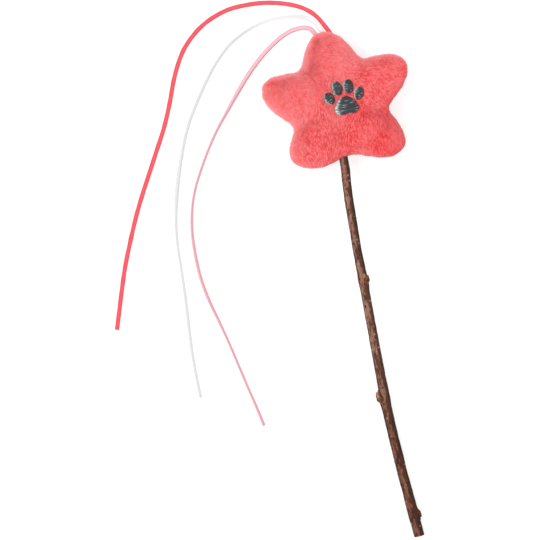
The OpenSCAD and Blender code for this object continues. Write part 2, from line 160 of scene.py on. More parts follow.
@dataclass
class Surface:
    """Points and faces of a piece, with what its materials read at each point, as numbers or rows of three."""

    points: Array
    quads: Array = field(default_factory=lambda: np.zeros((0, 4), int))
    triangles: Array = field(default_factory=lambda: np.zeros((0, 3), int))
    values: dict[str, Array] = field(default_factory=dict)
    part: Array | None = None

    def parts(self) -> Array:
        """Returns the material index of each face, quads first."""
        count = len(self.quads) + len(self.triangles)
        return np.zeros(count, int) if self.part is None else self.part

    @staticmethod
    def joined(surfaces: list["Surface"]) -> "Surface":
        """Joins surfaces into one piece, and gives a value that one lacks as 0.

        Args:
            surfaces: the surfaces, each with its own values.

        Returns:
            One surface with all points and faces.
        """
        starts = np.cumsum([0] + [len(s.points) for s in surfaces[:-1]])
        shapes = {name: values.shape[1:] for s in surfaces for name, values in s.values.items()}
        quad_parts = [s.parts()[: len(s.quads)] for s in surfaces]
        triangle_parts = [s.parts()[len(s.quads):] for s in surfaces]
        return Surface(
            np.concatenate([s.points for s in surfaces]),
            np.concatenate([s.quads + start for s, start in zip(surfaces, starts)]),
            np.concatenate([s.triangles + start for s, start in zip(surfaces, starts)]),
            {
                name: np.concatenate([s.values.get(name, np.zeros((len(s.points), *shape))) for s in surfaces])
                for name, shape in sorted(shapes.items())
            },
            np.concatenate(quad_parts + triangle_parts),
        )

    def corners(self) -> Array:
        """Returns the point index at each corner of each face, quads first."""
        return np.concatenate([self.quads.ravel(), self.triangles.ravel()]).astype(np.int32)

    def mesh(self, name: str, smooth: bool = True) -> Mesh:
        """Puts the surface into a new mesh with its values as attributes.

        Args:
            name: name of the mesh.
            smooth: whether its faces are shaded smooth.

        Returns:
            The mesh.
        """
        mesh = bpy.data.meshes.new(name)
        sizes = np.concatenate([np.full(len(self.quads), 4), np.full(len(self.triangles), 3)])
        corners = self.corners()
        mesh.vertices.add(len(self.points))
        mesh.vertices.foreach_set("co", self.points.astype(np.float32).ravel())
        mesh.loops.add(len(corners))
        mesh.loops.foreach_set("vertex_index", corners)
        mesh.polygons.add(len(sizes))
        starts = np.concatenate([[0], np.cumsum(sizes)[:-1]])
        mesh.polygons.foreach_set("loop_start", starts.astype(np.int32))
        mesh.polygons.foreach_set("material_index", self.parts().astype(np.int32))
        mesh.update(calc_edges=True)
        mesh.polygons.foreach_set("use_smooth", np.full(len(sizes), smooth))
        for key, values in self.values.items():
            kind, item = ("FLOAT", "value") if values.ndim == 1 else ("FLOAT_VECTOR", "vector")
            attribute = mesh.attributes.new(key, kind, "POINT")
            attribute.data.foreach_set(item, values.astype(np.float32).ravel())
        mesh.validate()
        return mesh


def new_object(name: str, data: bpy.types.ID) -> Piece:
    """Puts a new object into the scene.

    Args:
        name: its name.
        data: its mesh, camera or light.

    Returns:
        The object.
    """
    made = bpy.data.objects.new(name, data)
    bpy.context.scene.collection.objects.link(made)
    return made


def place_piece(name: str, surface: Surface, slot: Slot, *materials: Material, smooth: bool = True) -> Piece:
    """Makes a piece that rides on the wand's one body, with its object at the origin.

    Args:
        name: plain name of the piece.
        surface: its surface, in the wand's frame.
        slot: the record's slot; it is not used.
        *materials: its materials, in the order of the faces' indices.
        smooth: whether its faces are shaded smooth.

    Returns:
        The new object.
    """
    piece = new_object(name, surface.mesh(name, smooth))
    for material in materials:
        piece.data.materials.append(material)
    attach(piece, BODY)
    return piece


def applied(item: Piece) -> Mesh:
    """Returns a new mesh of the object with its modifiers applied."""
    return bpy.data.meshes.new_from_object(item.evaluated_get(bpy.context.evaluated_depsgraph_get()))


def taken(mesh: Mesh) -> tuple[Array, Array]:
    """Reads a mesh that has quads alone, and deletes it.

    Args:
        mesh: the mesh.

    Returns:
        Its points and the point indices of each face.
    """
    points = np.empty(len(mesh.vertices) * 3, np.float32)
    corners = np.empty(len(mesh.loops), np.int32)
    mesh.vertices.foreach_get("co", points)
    mesh.loops.foreach_get("vertex_index", corners)
    bpy.data.meshes.remove(mesh)
    return points.reshape(-1, 3).astype(float), corners.reshape(-1, 4).astype(int)


def squared(mesh: Mesh, voxel: float, weld: float = 0.0) -> tuple[Array, Array]:
    """Lays even squares over the closed form of a mesh.

    Args:
        mesh: the mesh.
        voxel: side of a square.
        weld: reach within which its points are merged first.

    Returns:
        The squares' points and faces.
    """
    item = new_object("squared", mesh)
    item.modifiers.new("weld", "WELD").merge_threshold = weld
    remesh = item.modifiers.new("even", "REMESH")
    remesh.mode, remesh.voxel_size = "VOXEL", voxel
    points, quads = taken(applied(item))
    bpy.data.objects.remove(item)
    return points, quads


def face_normals(points: Array, quads: Array) -> Array:
    """Normal at each point: the sum of the cross products of the diagonals of the quads round it.

    Args:
        points: the points.
        quads: the faces.

    Returns:
        One unit vector for each point.
    """
    a, b, c, d = (points[quads[:, k]] for k in range(4))
    across = np.cross(c - a, d - b)
    total = np.zeros_like(points)
    for k, axis in np.ndindex(4, 3):
        total[:, axis] += np.bincount(quads[:, k], across[:, axis], len(points))
    return unit(total)


def relaxed(points: Array, quads: Array, rounds: int) -> Array:
    """Moves each point half way to the mean of its neighbours along the edges, in each round.

    Args:
        points: the points.
        quads: the faces.
        rounds: number of rounds.

    Returns:
        The moved points.
    """
    pairs = np.concatenate([quads[:, [k, (k + 1) % 4]] for k in range(4)])
    near = np.bincount(pairs[:, 0], minlength=len(points))[:, None]
    for _ in range(rounds):
        sums = np.stack([np.bincount(pairs[:, 0], points[pairs[:, 1], k], len(points)) for k in range(3)], -1)
        points = 0.5 * points + 0.5 * sums / near
    return points


def subdivided(points: Array, quads: Array) -> Surface:
    """One step of subdivision, made by Blender's own modifier, of quads over points.

    Args:
        points: the points.
        quads: the faces.

    Returns:
        The finer surface.
    """
    coarse = new_object("coarse", Surface(points, quads).mesh("coarse"))
    finer = coarse.modifiers.new("finer", "SUBSURF")
    finer.levels = finer.render_levels = 1
    surface = Surface(*taken(applied(coarse)))
    bpy.data.objects.remove(coarse)
    return surface


def capped(moves: Array, cap: float) -> Array:
    """Shortens moves so that none is longer than cap, through the hyperbolic tangent of their length."""
    travel = np.linalg.norm(moves, axis=1, keepdims=True)
    return moves * cap * np.tanh(travel / cap) / np.maximum(travel, LEAST)


def lathe_faces(rings: int, sides: int) -> tuple[Array, Array]:
    """Faces of a closed skin over rings, whose last two points are the first and the last pole.

    Args:
        rings: number of rings.
        sides: points in a ring, anticlockwise seen from the last pole.

    Returns:
        The quads between the rings and the triangles round the poles, which face outwards.
    """
    i = np.arange(sides)
    beside = (i + 1) % sides
    start = np.arange(rings - 1)[:, None] * sides
    quads = np.stack([start + i, start + beside, start + beside + sides, start + i + sides], -1).reshape(-1, 4)
    last = (rings - 1) * sides
    first_pole = np.full(sides, rings * sides)
    first_fan = np.stack([first_pole, beside, i], -1)
    last_fan = np.stack([first_pole + 1, last + i, last + beside], -1)
    return quads, np.concatenate([first_fan, last_fan])


def skin(rings: Array, first_pole: Array, last_pole: Array) -> Surface:
    """Returns the closed skin over rings x sides x 3 points, anticlockwise seen from the last pole."""
    points = np.concatenate([rings.reshape(-1, 3), first_pole[None], last_pole[None]])
    return Surface(points, *lathe_faces(*rings.shape[:2]))


def line_frames(paths: Array, side: Array) -> tuple[Array, Array]:
    """Directions square to a path at each of its points.

    The way is the difference between a point's neighbours. The first direction is side made square to the way,
    and the second is the cross product of the way and the first.

    Args:
        paths: points as ... x points x 3.
        side: rough direction across each path, which broadcasts to paths.

    Returns:
        The directions to the side and above, each as paths.
    """
    way = unit(np.gradient(paths, axis=-2))
    across = unit(side - (side * way).sum(-1, keepdims=True) * way)
    return across, np.cross(way, across)


def spokes(across: Array, above: Array, sides: int) -> Array:
    """Returns unit vectors evenly round each point of a path, as ... x points x sides x 3."""
    ring = circle(sides)
    return across[..., None, :] * ring[:, :1] + above[..., None, :] * ring[:, 1:]


def tubes(paths: Array, radii: Array, side: Array, sides: int) -> Surface:
    """Closed round tubes along many paths at once: circles of the radius at each point, square to the way.

    Args:
        paths: points as tubes x points x 3.
        radii: radius at each of them, as tubes x points.
        side: rough direction across each path, which broadcasts to paths.
        sides: sides of a tube.

    Returns:
        One surface with the value along, from 0 to 1 over each tube, and turn, the share of a turn round it.
    """
    count, rings, _ = paths.shape
    body = paths[:, :, None] + spokes(*line_frames(paths, side), sides) * radii[:, :, None, None]
    points = np.concatenate([body.reshape(count, -1, 3), paths[:, :1], paths[:, -1:]], 1)
    quads, triangles = lathe_faces(rings, sides)
    starts = np.arange(count)[:, None, None] * (rings * sides + 2)
    along = np.append(np.repeat(np.linspace(0.0, 1.0, rings), sides), [0.0, 1.0])
    turn = np.append(np.tile(np.arange(sides) / sides, rings), [0.0, 0.0])
    return Surface(
        points.reshape(-1, 3),
        (quads + starts).reshape(-1, 4),
        (triangles + starts).reshape(-1, 3),
        {"along": np.tile(along, count), "turn": np.tile(turn, count)},
    )


def rounded_line(points: Array, steps: int) -> Array:
    """Curve through points: the cubic that at each point heads from the one before to the one after.

    Args:
        points: points x columns, where the columns past a place are rounded alike.
        steps: steps from each point to the next.

    Returns:
        The curve's points x columns.
    """
    padded = np.concatenate([2 * points[:1] - points[1:2], points, 2 * points[-1:] - points[-2:-1]])
    before, here, after, beyond = padded[:-3], padded[1:-2], padded[2:-1], padded[3:]
    t = (np.arange(steps) / steps)[:, None, None]
    curve = (
        here
        + 0.5 * t * (after - before)
        + t**2 * (before - 2.5 * here + 2.0 * after - 0.5 * beyond)
        + t**3 * (1.5 * (here - after) + 0.5 * (beyond - before))
    )
    return np.concatenate([curve.transpose(1, 0, 2).reshape(-1, points.shape[1]), points[-1:]])


class Tree:
    """Builds a node tree, of a material, a world or a group."""

    def __init__(self, tree: bpy.types.NodeTree) -> None:
        """Takes the tree that the nodes go into."""
        self.tree = tree

    @classmethod
    def of(cls, owner: bpy.types.ID) -> "Tree":
        """Empties the tree of a material or world.

        Args:
            owner: the material or world.

        Returns:
            A builder for its tree.
        """
        owner.use_nodes = True
        owner.node_tree.nodes.clear()
        return cls(owner.node_tree)

    def node(self, kind: str, inputs: Inputs | None = None, **settings: object) -> bpy.types.Node:
        """Adds a node.

        Args:
            kind: the node's type.
            inputs: socket name or index to a value or to the socket that feeds it.
            **settings: the node's own properties.

        Returns:
            The node.
        """
        made = self.tree.nodes.new(kind)
        for key, value in settings.items():
            setattr(made, key, value)
        for key, value in (inputs or {}).items():
            socket = made.inputs[key]
            if isinstance(value, Socket):
                self.tree.links.new(value, socket)
            elif socket.type == "RGBA" and len(value) == 3:
                socket.default_value = (*value, 1.0)
            else:
                socket.default_value = value
        return made

    def group(self, group: bpy.types.NodeTree, **inputs: object) -> bpy.types.bpy_prop_collection:
        """Returns the outputs of a shared group that is placed with its own inputs."""
        return self.node("ShaderNodeGroup", inputs, node_tree=group).outputs

    def math(self, operation: str, *values: object, clamp: bool = False) -> Socket:
        """Returns the output of a Math node on values."""
        inputs = dict(enumerate(values))
        return self.node("ShaderNodeMath", inputs, operation=operation, use_clamp=clamp).outputs[0]

    def times(self, first: object, second: object) -> Socket:
        """Returns first times second."""
        return self.math("MULTIPLY", first, second)

    def plus(self, first: object, second: object) -> Socket:
        """Returns first plus second."""
        return self.math("ADD", first, second)

    def along_way(self, vector: Socket, way: Place) -> Socket:
        """Returns how far vector reaches along way."""
        return self.node("ShaderNodeVectorMath", {0: vector, 1: way}, operation="DOT_PRODUCT").outputs["Value"]

    def third(self, vector: Socket) -> Socket:
        """Returns the third coordinate of vector."""
        return self.node("ShaderNodeSeparateXYZ", {0: vector}).outputs[2]

    def stretched(self, vector: Socket, third: float) -> Socket:
        """Returns vector with its third coordinate times third."""
        return self.node("ShaderNodeMapping", {"Vector": vector, "Scale": (1.0, 1.0, third)}).outputs[0]

    def stepped(self, value: object, span: tuple[object, object], onto: Span = (0.0, 1.0)) -> Socket:
        """Returns value eased from the low and high end of span to those of onto."""
        ends = {"Value": value, "From Min": span[0], "From Max": span[1], "To Min": onto[0], "To Max": onto[1]}
        return self.node("ShaderNodeMapRange", ends, interpolation_type="SMOOTHSTEP").outputs["Result"]

    def blend(self, factor: object, first: object, second: object, kind: str = "MIX") -> Socket:
        """Returns the colour that a Mix node makes of first and second."""
        inputs = {0: factor, 6: first, 7: second}
        return self.node("ShaderNodeMix", inputs, data_type="RGBA", blend_type=kind).outputs[2]

    def noise(self, vector: object, scale: object, detail: float = 3.0, rough: float = 0.55) -> Socket:
        """Returns the value of a noise texture."""
        inputs = {"Vector": vector, "Scale": scale, "Detail": detail, "Roughness": rough}
        return self.node("ShaderNodeTexNoise", inputs).outputs[0]

    def value(self, name: str) -> Socket:
        """Returns the piece's own value of that name."""
        return self.node("ShaderNodeAttribute", attribute_name=name).outputs["Fac"]

    def vector(self, name: str) -> Socket:
        """Returns the piece's own vector of that name."""
        return self.node("ShaderNodeAttribute", attribute_name=name).outputs["Vector"]

    def place(self) -> Socket:
        """Returns the Object coordinates."""
        return self.node("ShaderNodeTexCoord").outputs["Object"]

    def bump(self, height: object, depth: float, strength: float) -> Socket:
        """Returns the normal of a bump of that depth."""
        inputs = {"Height": height, "Strength": strength, "Distance": depth}
        return self.node("ShaderNodeBump", inputs).outputs[0]

    def surface(self, **inputs: object) -> None:
        """Adds the Principled shader with inputs by socket name, underscores for spaces, and the output."""
        named = {key.replace("_", " "): value for key, value in inputs.items()}
        shader = self.node("ShaderNodeBsdfPrincipled", named).outputs[0]
        self.node("ShaderNodeOutputMaterial", {"Surface": shader})


class SharedEffects:
    """Shader groups that more than one finish uses, each built once."""

    def __init__(self) -> None:
        """Builds the three groups."""
        self.grain = self._grain()
        self.patches = self._patches()
        self.twist = self._twist()

    @staticmethod
    def _start(
        name: str, inputs: dict[str, float | None], *outputs: str
    ) -> tuple[Tree, bpy.types.bpy_prop_collection]:
        """Starts a group with its sockets.

        Args:
            name: the group's name.
            inputs: socket name to its value, which is None for a vector.
            *outputs: names of the outputs.

        Returns:
            The tree and the group's inputs by name.
        """
        group = bpy.data.node_groups.new(name, "ShaderNodeTree")
        for socket, value in inputs.items():
            kind = "NodeSocketVector" if value is None else "NodeSocketFloat"
            made = group.interface.new_socket(socket, in_out="INPUT", socket_type=kind)
            if value is not None:
                made.default_value = value
        for socket in outputs:
            group.interface.new_socket(socket, in_out="OUTPUT", socket_type="NodeSocketFloat")
        tree = Tree(group)
        return tree, tree.node("NodeGroupInput").outputs

    def _grain(self) -> bpy.types.NodeTree:
        """Fine grain of fibres: six parts of a fine noise to four of one about a quarter as fine.

        Returns:
            The group.
        """
        tree, given = self._start("fibre_grain", {"Vector": None, "Scale": 2000.0}, "Value", "Height")
        fine = tree.noise(given["Vector"], given["Scale"], 2.0)
        coarse = tree.noise(given["Vector"], tree.times(given["Scale"], 0.27), 2.0)
        value = tree.plus(tree.times(fine, 0.6), tree.times(coarse, 0.4))
        tree.node("NodeGroupOutput", {"Value": tree.stepped(value, (0.32, 0.68)), "Height": value})
        return tree.tree

    def _patches(self) -> bpy.types.NodeTree:
        """Broad soft patches with a mask from 0 to 1, a noise stepped at its middle.

        Returns:
            The group.
        """
        tree, given = self._start("broad_patches", {"Vector": None, "Scale": 60.0, "Softness": 0.12}, "Mask")
        noise = tree.noise(given["Vector"], given["Scale"], 2.0, 0.5)
        span = tree.math("SUBTRACT", 0.5, given["Softness"]), tree.plus(0.5, given["Softness"])
        tree.node("NodeGroupOutput", {"Mask": tree.stepped(noise, span)})
        return tree.tree

    def _twist(self) -> bpy.types.NodeTree:
        """Twist of a thread: two bands that wind round it, from its values along and turn.

        Returns:
            The group.
        """
        tree, given = self._start("thread_twist", {"Along": 0.0, "Turn": 0.0, "Windings": 20.0}, "Height")
        phase = tree.plus(tree.times(given["Along"], given["Windings"]), tree.times(given["Turn"], 2.0))
        wave = tree.math("SINE", tree.times(phase, 2.0 * math.pi))
        tree.node("NodeGroupOutput", {"Height": tree.math("MULTIPLY_ADD", wave, 0.5, 0.5)})
        return tree.tree


EFFECTS = SharedEffects()


def new_material(name: str, viewport: Colour) -> tuple[Material, Tree]:
    """Makes a material with a plain viewport colour.

    Args:
        name: its name.
        viewport: the plain colour.

    Returns:
        The material and its empty tree.
    """
    material = bpy.data.materials.new(name)
    material.diffuse_color = (*viewport, 1.0)
    return material, Tree.of(material)


@dataclass(frozen=True)
class PlushFinish:
    """Short coral plush: its knitted ground and its pile, deeper at the root, where shade is painted, and
    paler at the tip.

    A span holds the ends of a smooth step. Those of places are measured along the lit side or up from the
    table, and those of the rim by how steep the cloth is and how far it faces the lit side. With them, light
    and
    shade are painted on: paler towards the lit side and deeper away from it, and on the rim a painted sheen
    where it faces the lit side and painted shade where it faces away.
    """

    ground: Colour = (1.0, 0.06, 0.068)
    root: Colour = (0.75, 0.041, 0.05)
    tip: Colour = (1.0, 0.32, 0.325)
    # Pink of the soft patches, and also the painted light on the lit side.
    blush_and_painted_light: Colour = (1.0, 0.36, 0.37)
    warm: Colour = (1.0, 0.12, 0.12)
    # Painted shade, multiplied over the side away from the lit side.
    shade: Colour = (1.0, 0.53, 0.54)
    # Painted sheen on the rim that faces the lit side.
    painted_rim_sheen: Colour = (1.0, 0.44, 0.45)
    # Painted shade on the rim that faces away from the lit side.
    painted_rim_shade: Colour = (0.74, 0.09, 0.1)
    sheen: Colour = (1.0, 0.7, 0.7)
    patch_scale: float = 62.0
    patch_softness: float = 0.16
    mottle_scale: float = 330.0
    mottle_softness: float = 0.2
    patch_share: float = 0.3
    # Painted light towards the lit side and painted shade away from it, with less shade low on the star.
    painted_light_span: Span = (0.075, 0.14)
    painted_light_share: float = 0.5
    shade_span: Span = (0.035, 0.1)
    shade_share: float = 0.9
    shade_heights: Span = (0.006, 0.022)
    low_shade_share: float = 0.15
    tone_span: Span = (0.1, 0.9)
    # Painted shade towards the roots of the strands.
    root_shade_span: Span = (0.0, 0.75)
    root_shade_share: float = 0.6
    rim_span: Span = (0.2, 0.9)
    rim_heights: Span = (0.011, 0.019)
    low_rim_share: float = 0.3
    # Painted sheen on the rim, by how far it faces the lit side.
    painted_sheen_span: Span = (-0.95, 0.5)
    painted_sheen_shares: Span = (0.08, 0.75)
    # Painted shade on the rim, by how far it faces away from the lit side.
    rim_shade_span: Span = (-0.95, -0.5)
    rim_shade_share: float = 0.6
    grain_scale: float = 2600.0

    def _toned(self, tree: Tree, colour: Socket) -> Socket:
        """Pales colour on the lit side as painted light, deepens it on the other as painted shade, and lays
        soft patches of two corals over it.

        Args:
            tree: the material's tree.
            colour: the colour before.

        Returns:
            The colour after.
        """
        place = tree.place()
        pink = tree.group(EFFECTS.patches, Vector=place, Scale=self.patch_scale, Softness=self.patch_softness)
        warm = tree.group(EFFECTS.patches, Vector=place, Scale=self.mottle_scale, Softness=self.mottle_softness)
        lit = tree.along_way(place, LIT_SIDE)
        # Painted light: the colour turns paler towards the lit side.
        pale = tree.blend(tree.stepped(lit, self.painted_light_span, (0.0, self.painted_light_share)), colour, self.blush_and_painted_light)
        # Painted shade: the colour deepens away from the lit side, with less of it low on the star.
        aloft = tree.stepped(tree.third(place), self.shade_heights, (self.low_shade_share, 1.0))
        depth = tree.times(tree.stepped(lit, self.shade_span, (self.shade_share, 0.0)), aloft)
        shaded = tree.blend(depth, pale, self.shade, "MULTIPLY")
        toned = tree.blend(tree.times(pink["Mask"], self.patch_share), shaded, self.blush_and_painted_light)
        return tree.blend(tree.times(warm["Mask"], self.patch_share), toned, self.warm)

    def pile(self) -> Material:
        """Makes the finish of the pile, which reads its values along and tone and the cloth's normal as lie.
        It paints shade towards the strands' roots, and a sheen and shade on the rim by how it faces the lit
        side.

        Returns:
            The material.
        """
        material, tree = new_material("plush_pile", self.tip)
        strand = tree.blend(tree.stepped(tree.value("tone"), self.tone_span), self.root, self.tip)
        # Painted shade towards the strands' roots, where the ground colour is laid on.
        root_shade = tree.stepped(tree.value("along"), self.root_shade_span, (self.root_shade_share, 0.0))
        lie = tree.vector("lie")
        rim = tree.stepped(tree.third(lie), self.rim_span, (1.0, 0.0))
        facing = tree.along_way(lie, LIT_SIDE)
        aloft = tree.stepped(tree.third(tree.place()), self.rim_heights, (self.low_rim_share, 1.0))
        upper = tree.times(rim, aloft)
        # Painted sheen on the upper rim that faces the lit side.
        painted_rim_sheen = tree.times(upper, tree.stepped(facing, self.painted_sheen_span, self.painted_sheen_shares))
        # Painted shade on the upper rim that faces away from the lit side.
        rim_shade = tree.times(upper, tree.stepped(facing, self.rim_shade_span, (self.rim_shade_share, 0.0)))
        toned = self._toned(tree, tree.blend(root_shade, strand, self.ground))
        tree.surface(
            Base_Color=tree.blend(rim_shade, tree.blend(painted_rim_sheen, toned, self.painted_rim_sheen), self.painted_rim_shade),
            Roughness=0.7,
            Specular_IOR_Level=0.15,
            Sheen_Weight=0.5,
            Sheen_Roughness=0.35,
            Sheen_Tint=self.sheen,
        )
        return material

    def cloth(self) -> Material:
        """Makes the finish of the knitted ground under the pile, with the same painted light and shade by side.

        Returns:
            The material.
        """
        material, tree = new_material("plush_ground", self.ground)
        grain = tree.group(EFFECTS.grain, Vector=tree.place(), Scale=self.grain_scale)
        tree.surface(
            Base_Color=self._toned(tree, tree.blend(grain["Value"], self.ground, self.root)),
            Roughness=0.9,
            Specular_IOR_Level=0.15,
            Sheen_Weight=0.3,
            Normal=tree.bump(grain["Height"], 0.0004, 0.6),
        )
        return material


@dataclass(frozen=True)
class SuedeFinish:
    """Flat suede lace: a brushed face, a deeper cut edge, painted shade that deepens the face towards its sides
    as on a rounded section, soft shades and, at first, a paler stretch."""

    name: str
    face: Colour
    shade: Colour
    # Colour of the cut edge, also laid as painted shade towards the face's sides.
    edge: Colour
    paler_start: float = 0.0
    grain_scale: float = 3200.0
    patch_scale: float = 95.0
    patch_softness: float = 0.2
    grain_share: float = 0.3
    patch_share: float = 0.22
    # Painted shade towards the face's sides, as on a rounded section.
    side_shade_span: Span = (0.3, 0.85)
    side_shade_share: float = 0.75
    paler_span: Span = (0.12, 0.22)

    def material(self) -> Material:
        """Makes the lace's finish, which reads its values across, along and edge.

        Returns:
            The material.
        """
        material, tree = new_material(self.name, self.face)
        place = tree.place()
        grain = tree.group(EFFECTS.grain, Vector=place, Scale=self.grain_scale)
        softness = self.patch_softness
        patches = tree.group(EFFECTS.patches, Vector=place, Scale=self.patch_scale, Softness=softness)
        brushed = tree.blend(tree.times(grain["Value"], self.grain_share), self.face, self.shade)
        shaded = tree.blend(tree.times(patches["Mask"], self.patch_share), brushed, self.shade)
        # Painted shade: the face deepens towards its sides, as on a rounded section.
        side_shade = tree.stepped(tree.math("ABSOLUTE", tree.value("across")), self.side_shade_span)
        side_shaded = tree.blend(tree.times(side_shade, self.side_shade_share), shaded, self.edge)
        edged = tree.blend(tree.value("edge"), side_shaded, self.edge)
        pale = tree.stepped(tree.value("along"), self.paler_span, (self.paler_start, 0.0))
        tree.surface(
            Base_Color=tree.blend(pale, edged, WHITE),
            Roughness=0.88,
            Specular_IOR_Level=0.2,
            Sheen_Weight=0.35,
            Sheen_Roughness=0.45,
            Normal=tree.bump(grain["Height"], 0.00025, 0.7),
        )
        return material


@dataclass(frozen=True)
class Streaks:
    """A noise drawn out along the twig: its scale, its squeeze along the twig and its detail."""

    scale: float
    squeeze: float
    detail: float

    def on(self, tree: Tree, place: Socket) -> Socket:
        """Returns the noise at place, whose third coordinate runs along the twig."""
        return tree.noise(tree.stretched(place, self.squeeze), self.scale, self.detail)


@dataclass(frozen=True)
class BarkFinish:
    """Thin smooth bark: a mauve-grey lit side and a deep red-brown dark side, painted light and painted shade,
    with streaks, pores and tan scars.
    """

    # Painted light: colour of the side that faces the light's bearing.
    sun: Colour = (0.275, 0.145, 0.108)
    rose: Colour = (0.29, 0.115, 0.085)
    middle: Colour = (0.092, 0.032, 0.0175)
    # Painted shade: colour of the side turned away from it.
    shade: Colour = (0.03, 0.01, 0.0055)
    streak: Colour = (0.032, 0.011, 0.008)
    olive: Colour = (0.1, 0.05, 0.02)
    low: Colour = (0.68, 0.54, 0.45)
    scar: Colour = (0.36, 0.19, 0.1)
    scar_brown: Colour = (0.2, 0.085, 0.026)
    scar_deep: Colour = (0.06, 0.02, 0.007)
    torn: Colour = (0.52, 0.2, 0.13)
    pore: Colour = (0.62, 0.44, 0.30)
    wood: Colour = (0.62, 0.40, 0.20)
    broad: Streaks = Streaks(330.0, 0.22, 3.0)
    broad_weight: float = 0.6
    mottle: Streaks = Streaks(950.0, 0.3, 3.0)
    mottle_weight: float = 0.5
    rosy: Streaks = Streaks(190.0, 0.3, 2.0)
    rose_span: Span = (0.46, 0.66)
    rose_share: float = 0.75
    mossy: Streaks = Streaks(130.0, 0.3, 2.0)
    moss_span: Span = (0.48, 0.66)
    fine: Streaks = Streaks(1500.0, 0.06, 3.0)
    streak_span: Span = (0.5, 0.68)
    streak_share: float = 0.6
    # Bands of painted light and painted shade, by how far a point faces the light's bearing.
    painted_highlight_span: Span = (0.9, 1.02)
    shade_span: Span = (0.52, 0.9)
    low_stations: Span = (0.185, 0.245)
    ragged_scale: float = 900.0
    deep_weight: float = 0.22
    sound_span: Span = (0.34, 0.52)
    ring_pitch: float = 0.00085
    ring_span: Span = (-0.6, 1.0)
    ring_fade: float = 0.55
    wood_grain_scale: float = 2500.0
    wood_grain_share: float = 0.35

    def material(self) -> Material:
        """Makes the bark's finish, which reads the place on the straightened twig and the bark's values, and
        paints light and shade in bands by side.

        Returns:
            The material.
        """
        material, tree = new_material("twig_bark", self.sun)
        place = tree.vector("bark_place")
        # How far a point faces the light's bearing, broken up by streaks, for the painted light and shade.
        lit = tree.value("sun")
        for streaks, weight in ((self.broad, self.broad_weight), (self.mottle, self.mottle_weight)):
            lit = tree.plus(lit, tree.math("MULTIPLY_ADD", streaks.on(tree, place), weight, -weight / 2.0))
        rose = tree.times(tree.stepped(self.rosy.on(tree, place), self.rose_span), self.rose_share)
        moss = tree.stepped(self.mossy.on(tree, place), self.moss_span)
        brown = tree.blend(moss, self.middle, self.olive)
        # Painted light on the side that faces the light, then painted shade on the side turned away.
        bark = tree.blend(tree.stepped(lit, self.painted_highlight_span), brown, tree.blend(rose, self.sun, self.rose))
        bark = tree.blend(tree.stepped(lit, self.shade_span), self.shade, bark)
        bark = tree.blend(tree.stepped(tree.third(place), self.low_stations), bark, self.low, "MULTIPLY")
        fine = self.fine.on(tree, place)
        streaks = tree.times(tree.stepped(fine, self.streak_span), self.streak_share)
        bark = tree.blend(streaks, bark, self.streak)
        for mark, colour in (("pit", self.streak), ("pore", self.pore), ("torn", self.torn)):
            bark = tree.blend(tree.value(mark), bark, colour)
        ragged = tree.noise(place, self.ragged_scale)
        sound = tree.math("SUBTRACT", ragged, tree.times(tree.value("deep"), self.deep_weight))
        wound = tree.blend(tree.value("pale"), self.scar_brown, self.scar)
        scar = tree.blend(tree.stepped(sound, self.sound_span), self.scar_deep, wound)
        tree.surface(
            Base_Color=tree.blend(tree.value("scar"), bark, scar),
            Roughness=tree.stepped(fine, (0.3, 0.7), (0.55, 0.75)),
            Specular_IOR_Level=0.14,
            Normal=tree.bump(tree.plus(tree.times(fine, 0.6), tree.times(ragged, 0.4)), 0.00022, 0.8),
        )
        return material

    def sawn(self) -> Material:
        """Makes the finish of sawn wood, with rings round the pith, which reads the place too.

        Returns:
            The material.
        """
        material, tree = new_material("sawn_wood", self.wood)
        place = tree.vector("bark_place")
        flat = tree.stretched(place, 0.0)
        distance = tree.node("ShaderNodeVectorMath", {0: flat}, operation="LENGTH").outputs["Value"]
        rings = tree.math("SINE", tree.times(distance, 2.0 * math.pi / self.ring_pitch))
        grain = tree.group(EFFECTS.grain, Vector=place, Scale=self.wood_grain_scale)
        wood = tree.blend(tree.stepped(rings, self.ring_span), self.wood, self.scar_deep)
        pale = tree.blend(self.ring_fade, wood, self.wood)
        tree.surface(
            Base_Color=tree.blend(tree.times(grain["Value"], self.wood_grain_share), pale, self.scar),
            Roughness=0.8,
            Specular_IOR_Level=0.25,
            Normal=tree.bump(grain["Height"], 0.0002, 0.8),
        )
        return material


@dataclass(frozen=True)
class ThreadFinish:
    """Twisted thread with a silky gloss, and painted glints of light."""

    name: str
    colour: Colour
    worn: Colour
    # Painted glint of light.
    painted_glint: Colour
    roughness: float
    windings: float

    def material(self) -> Material:
        """Makes the thread's finish, which reads its values along, turn and tone, and the share of painted
        glint.

        Returns:
            The material.
        """
        material, tree = new_material(self.name, self.colour)
        along, turn = tree.value("along"), tree.value("turn")
        twist = tree.group(EFFECTS.twist, Along=along, Turn=turn, Windings=self.windings)
        toned = tree.blend(tree.value("tone"), self.colour, self.worn)
        # Painted glints of light are laid into the base colour.
        tree.surface(
            Base_Color=tree.blend(tree.value("shine"), toned, self.painted_glint),
            Roughness=self.roughness,
            Specular_IOR_Level=0.55,
            Normal=tree.bump(twist["Height"], 0.00006, 0.5),
        )
        return material


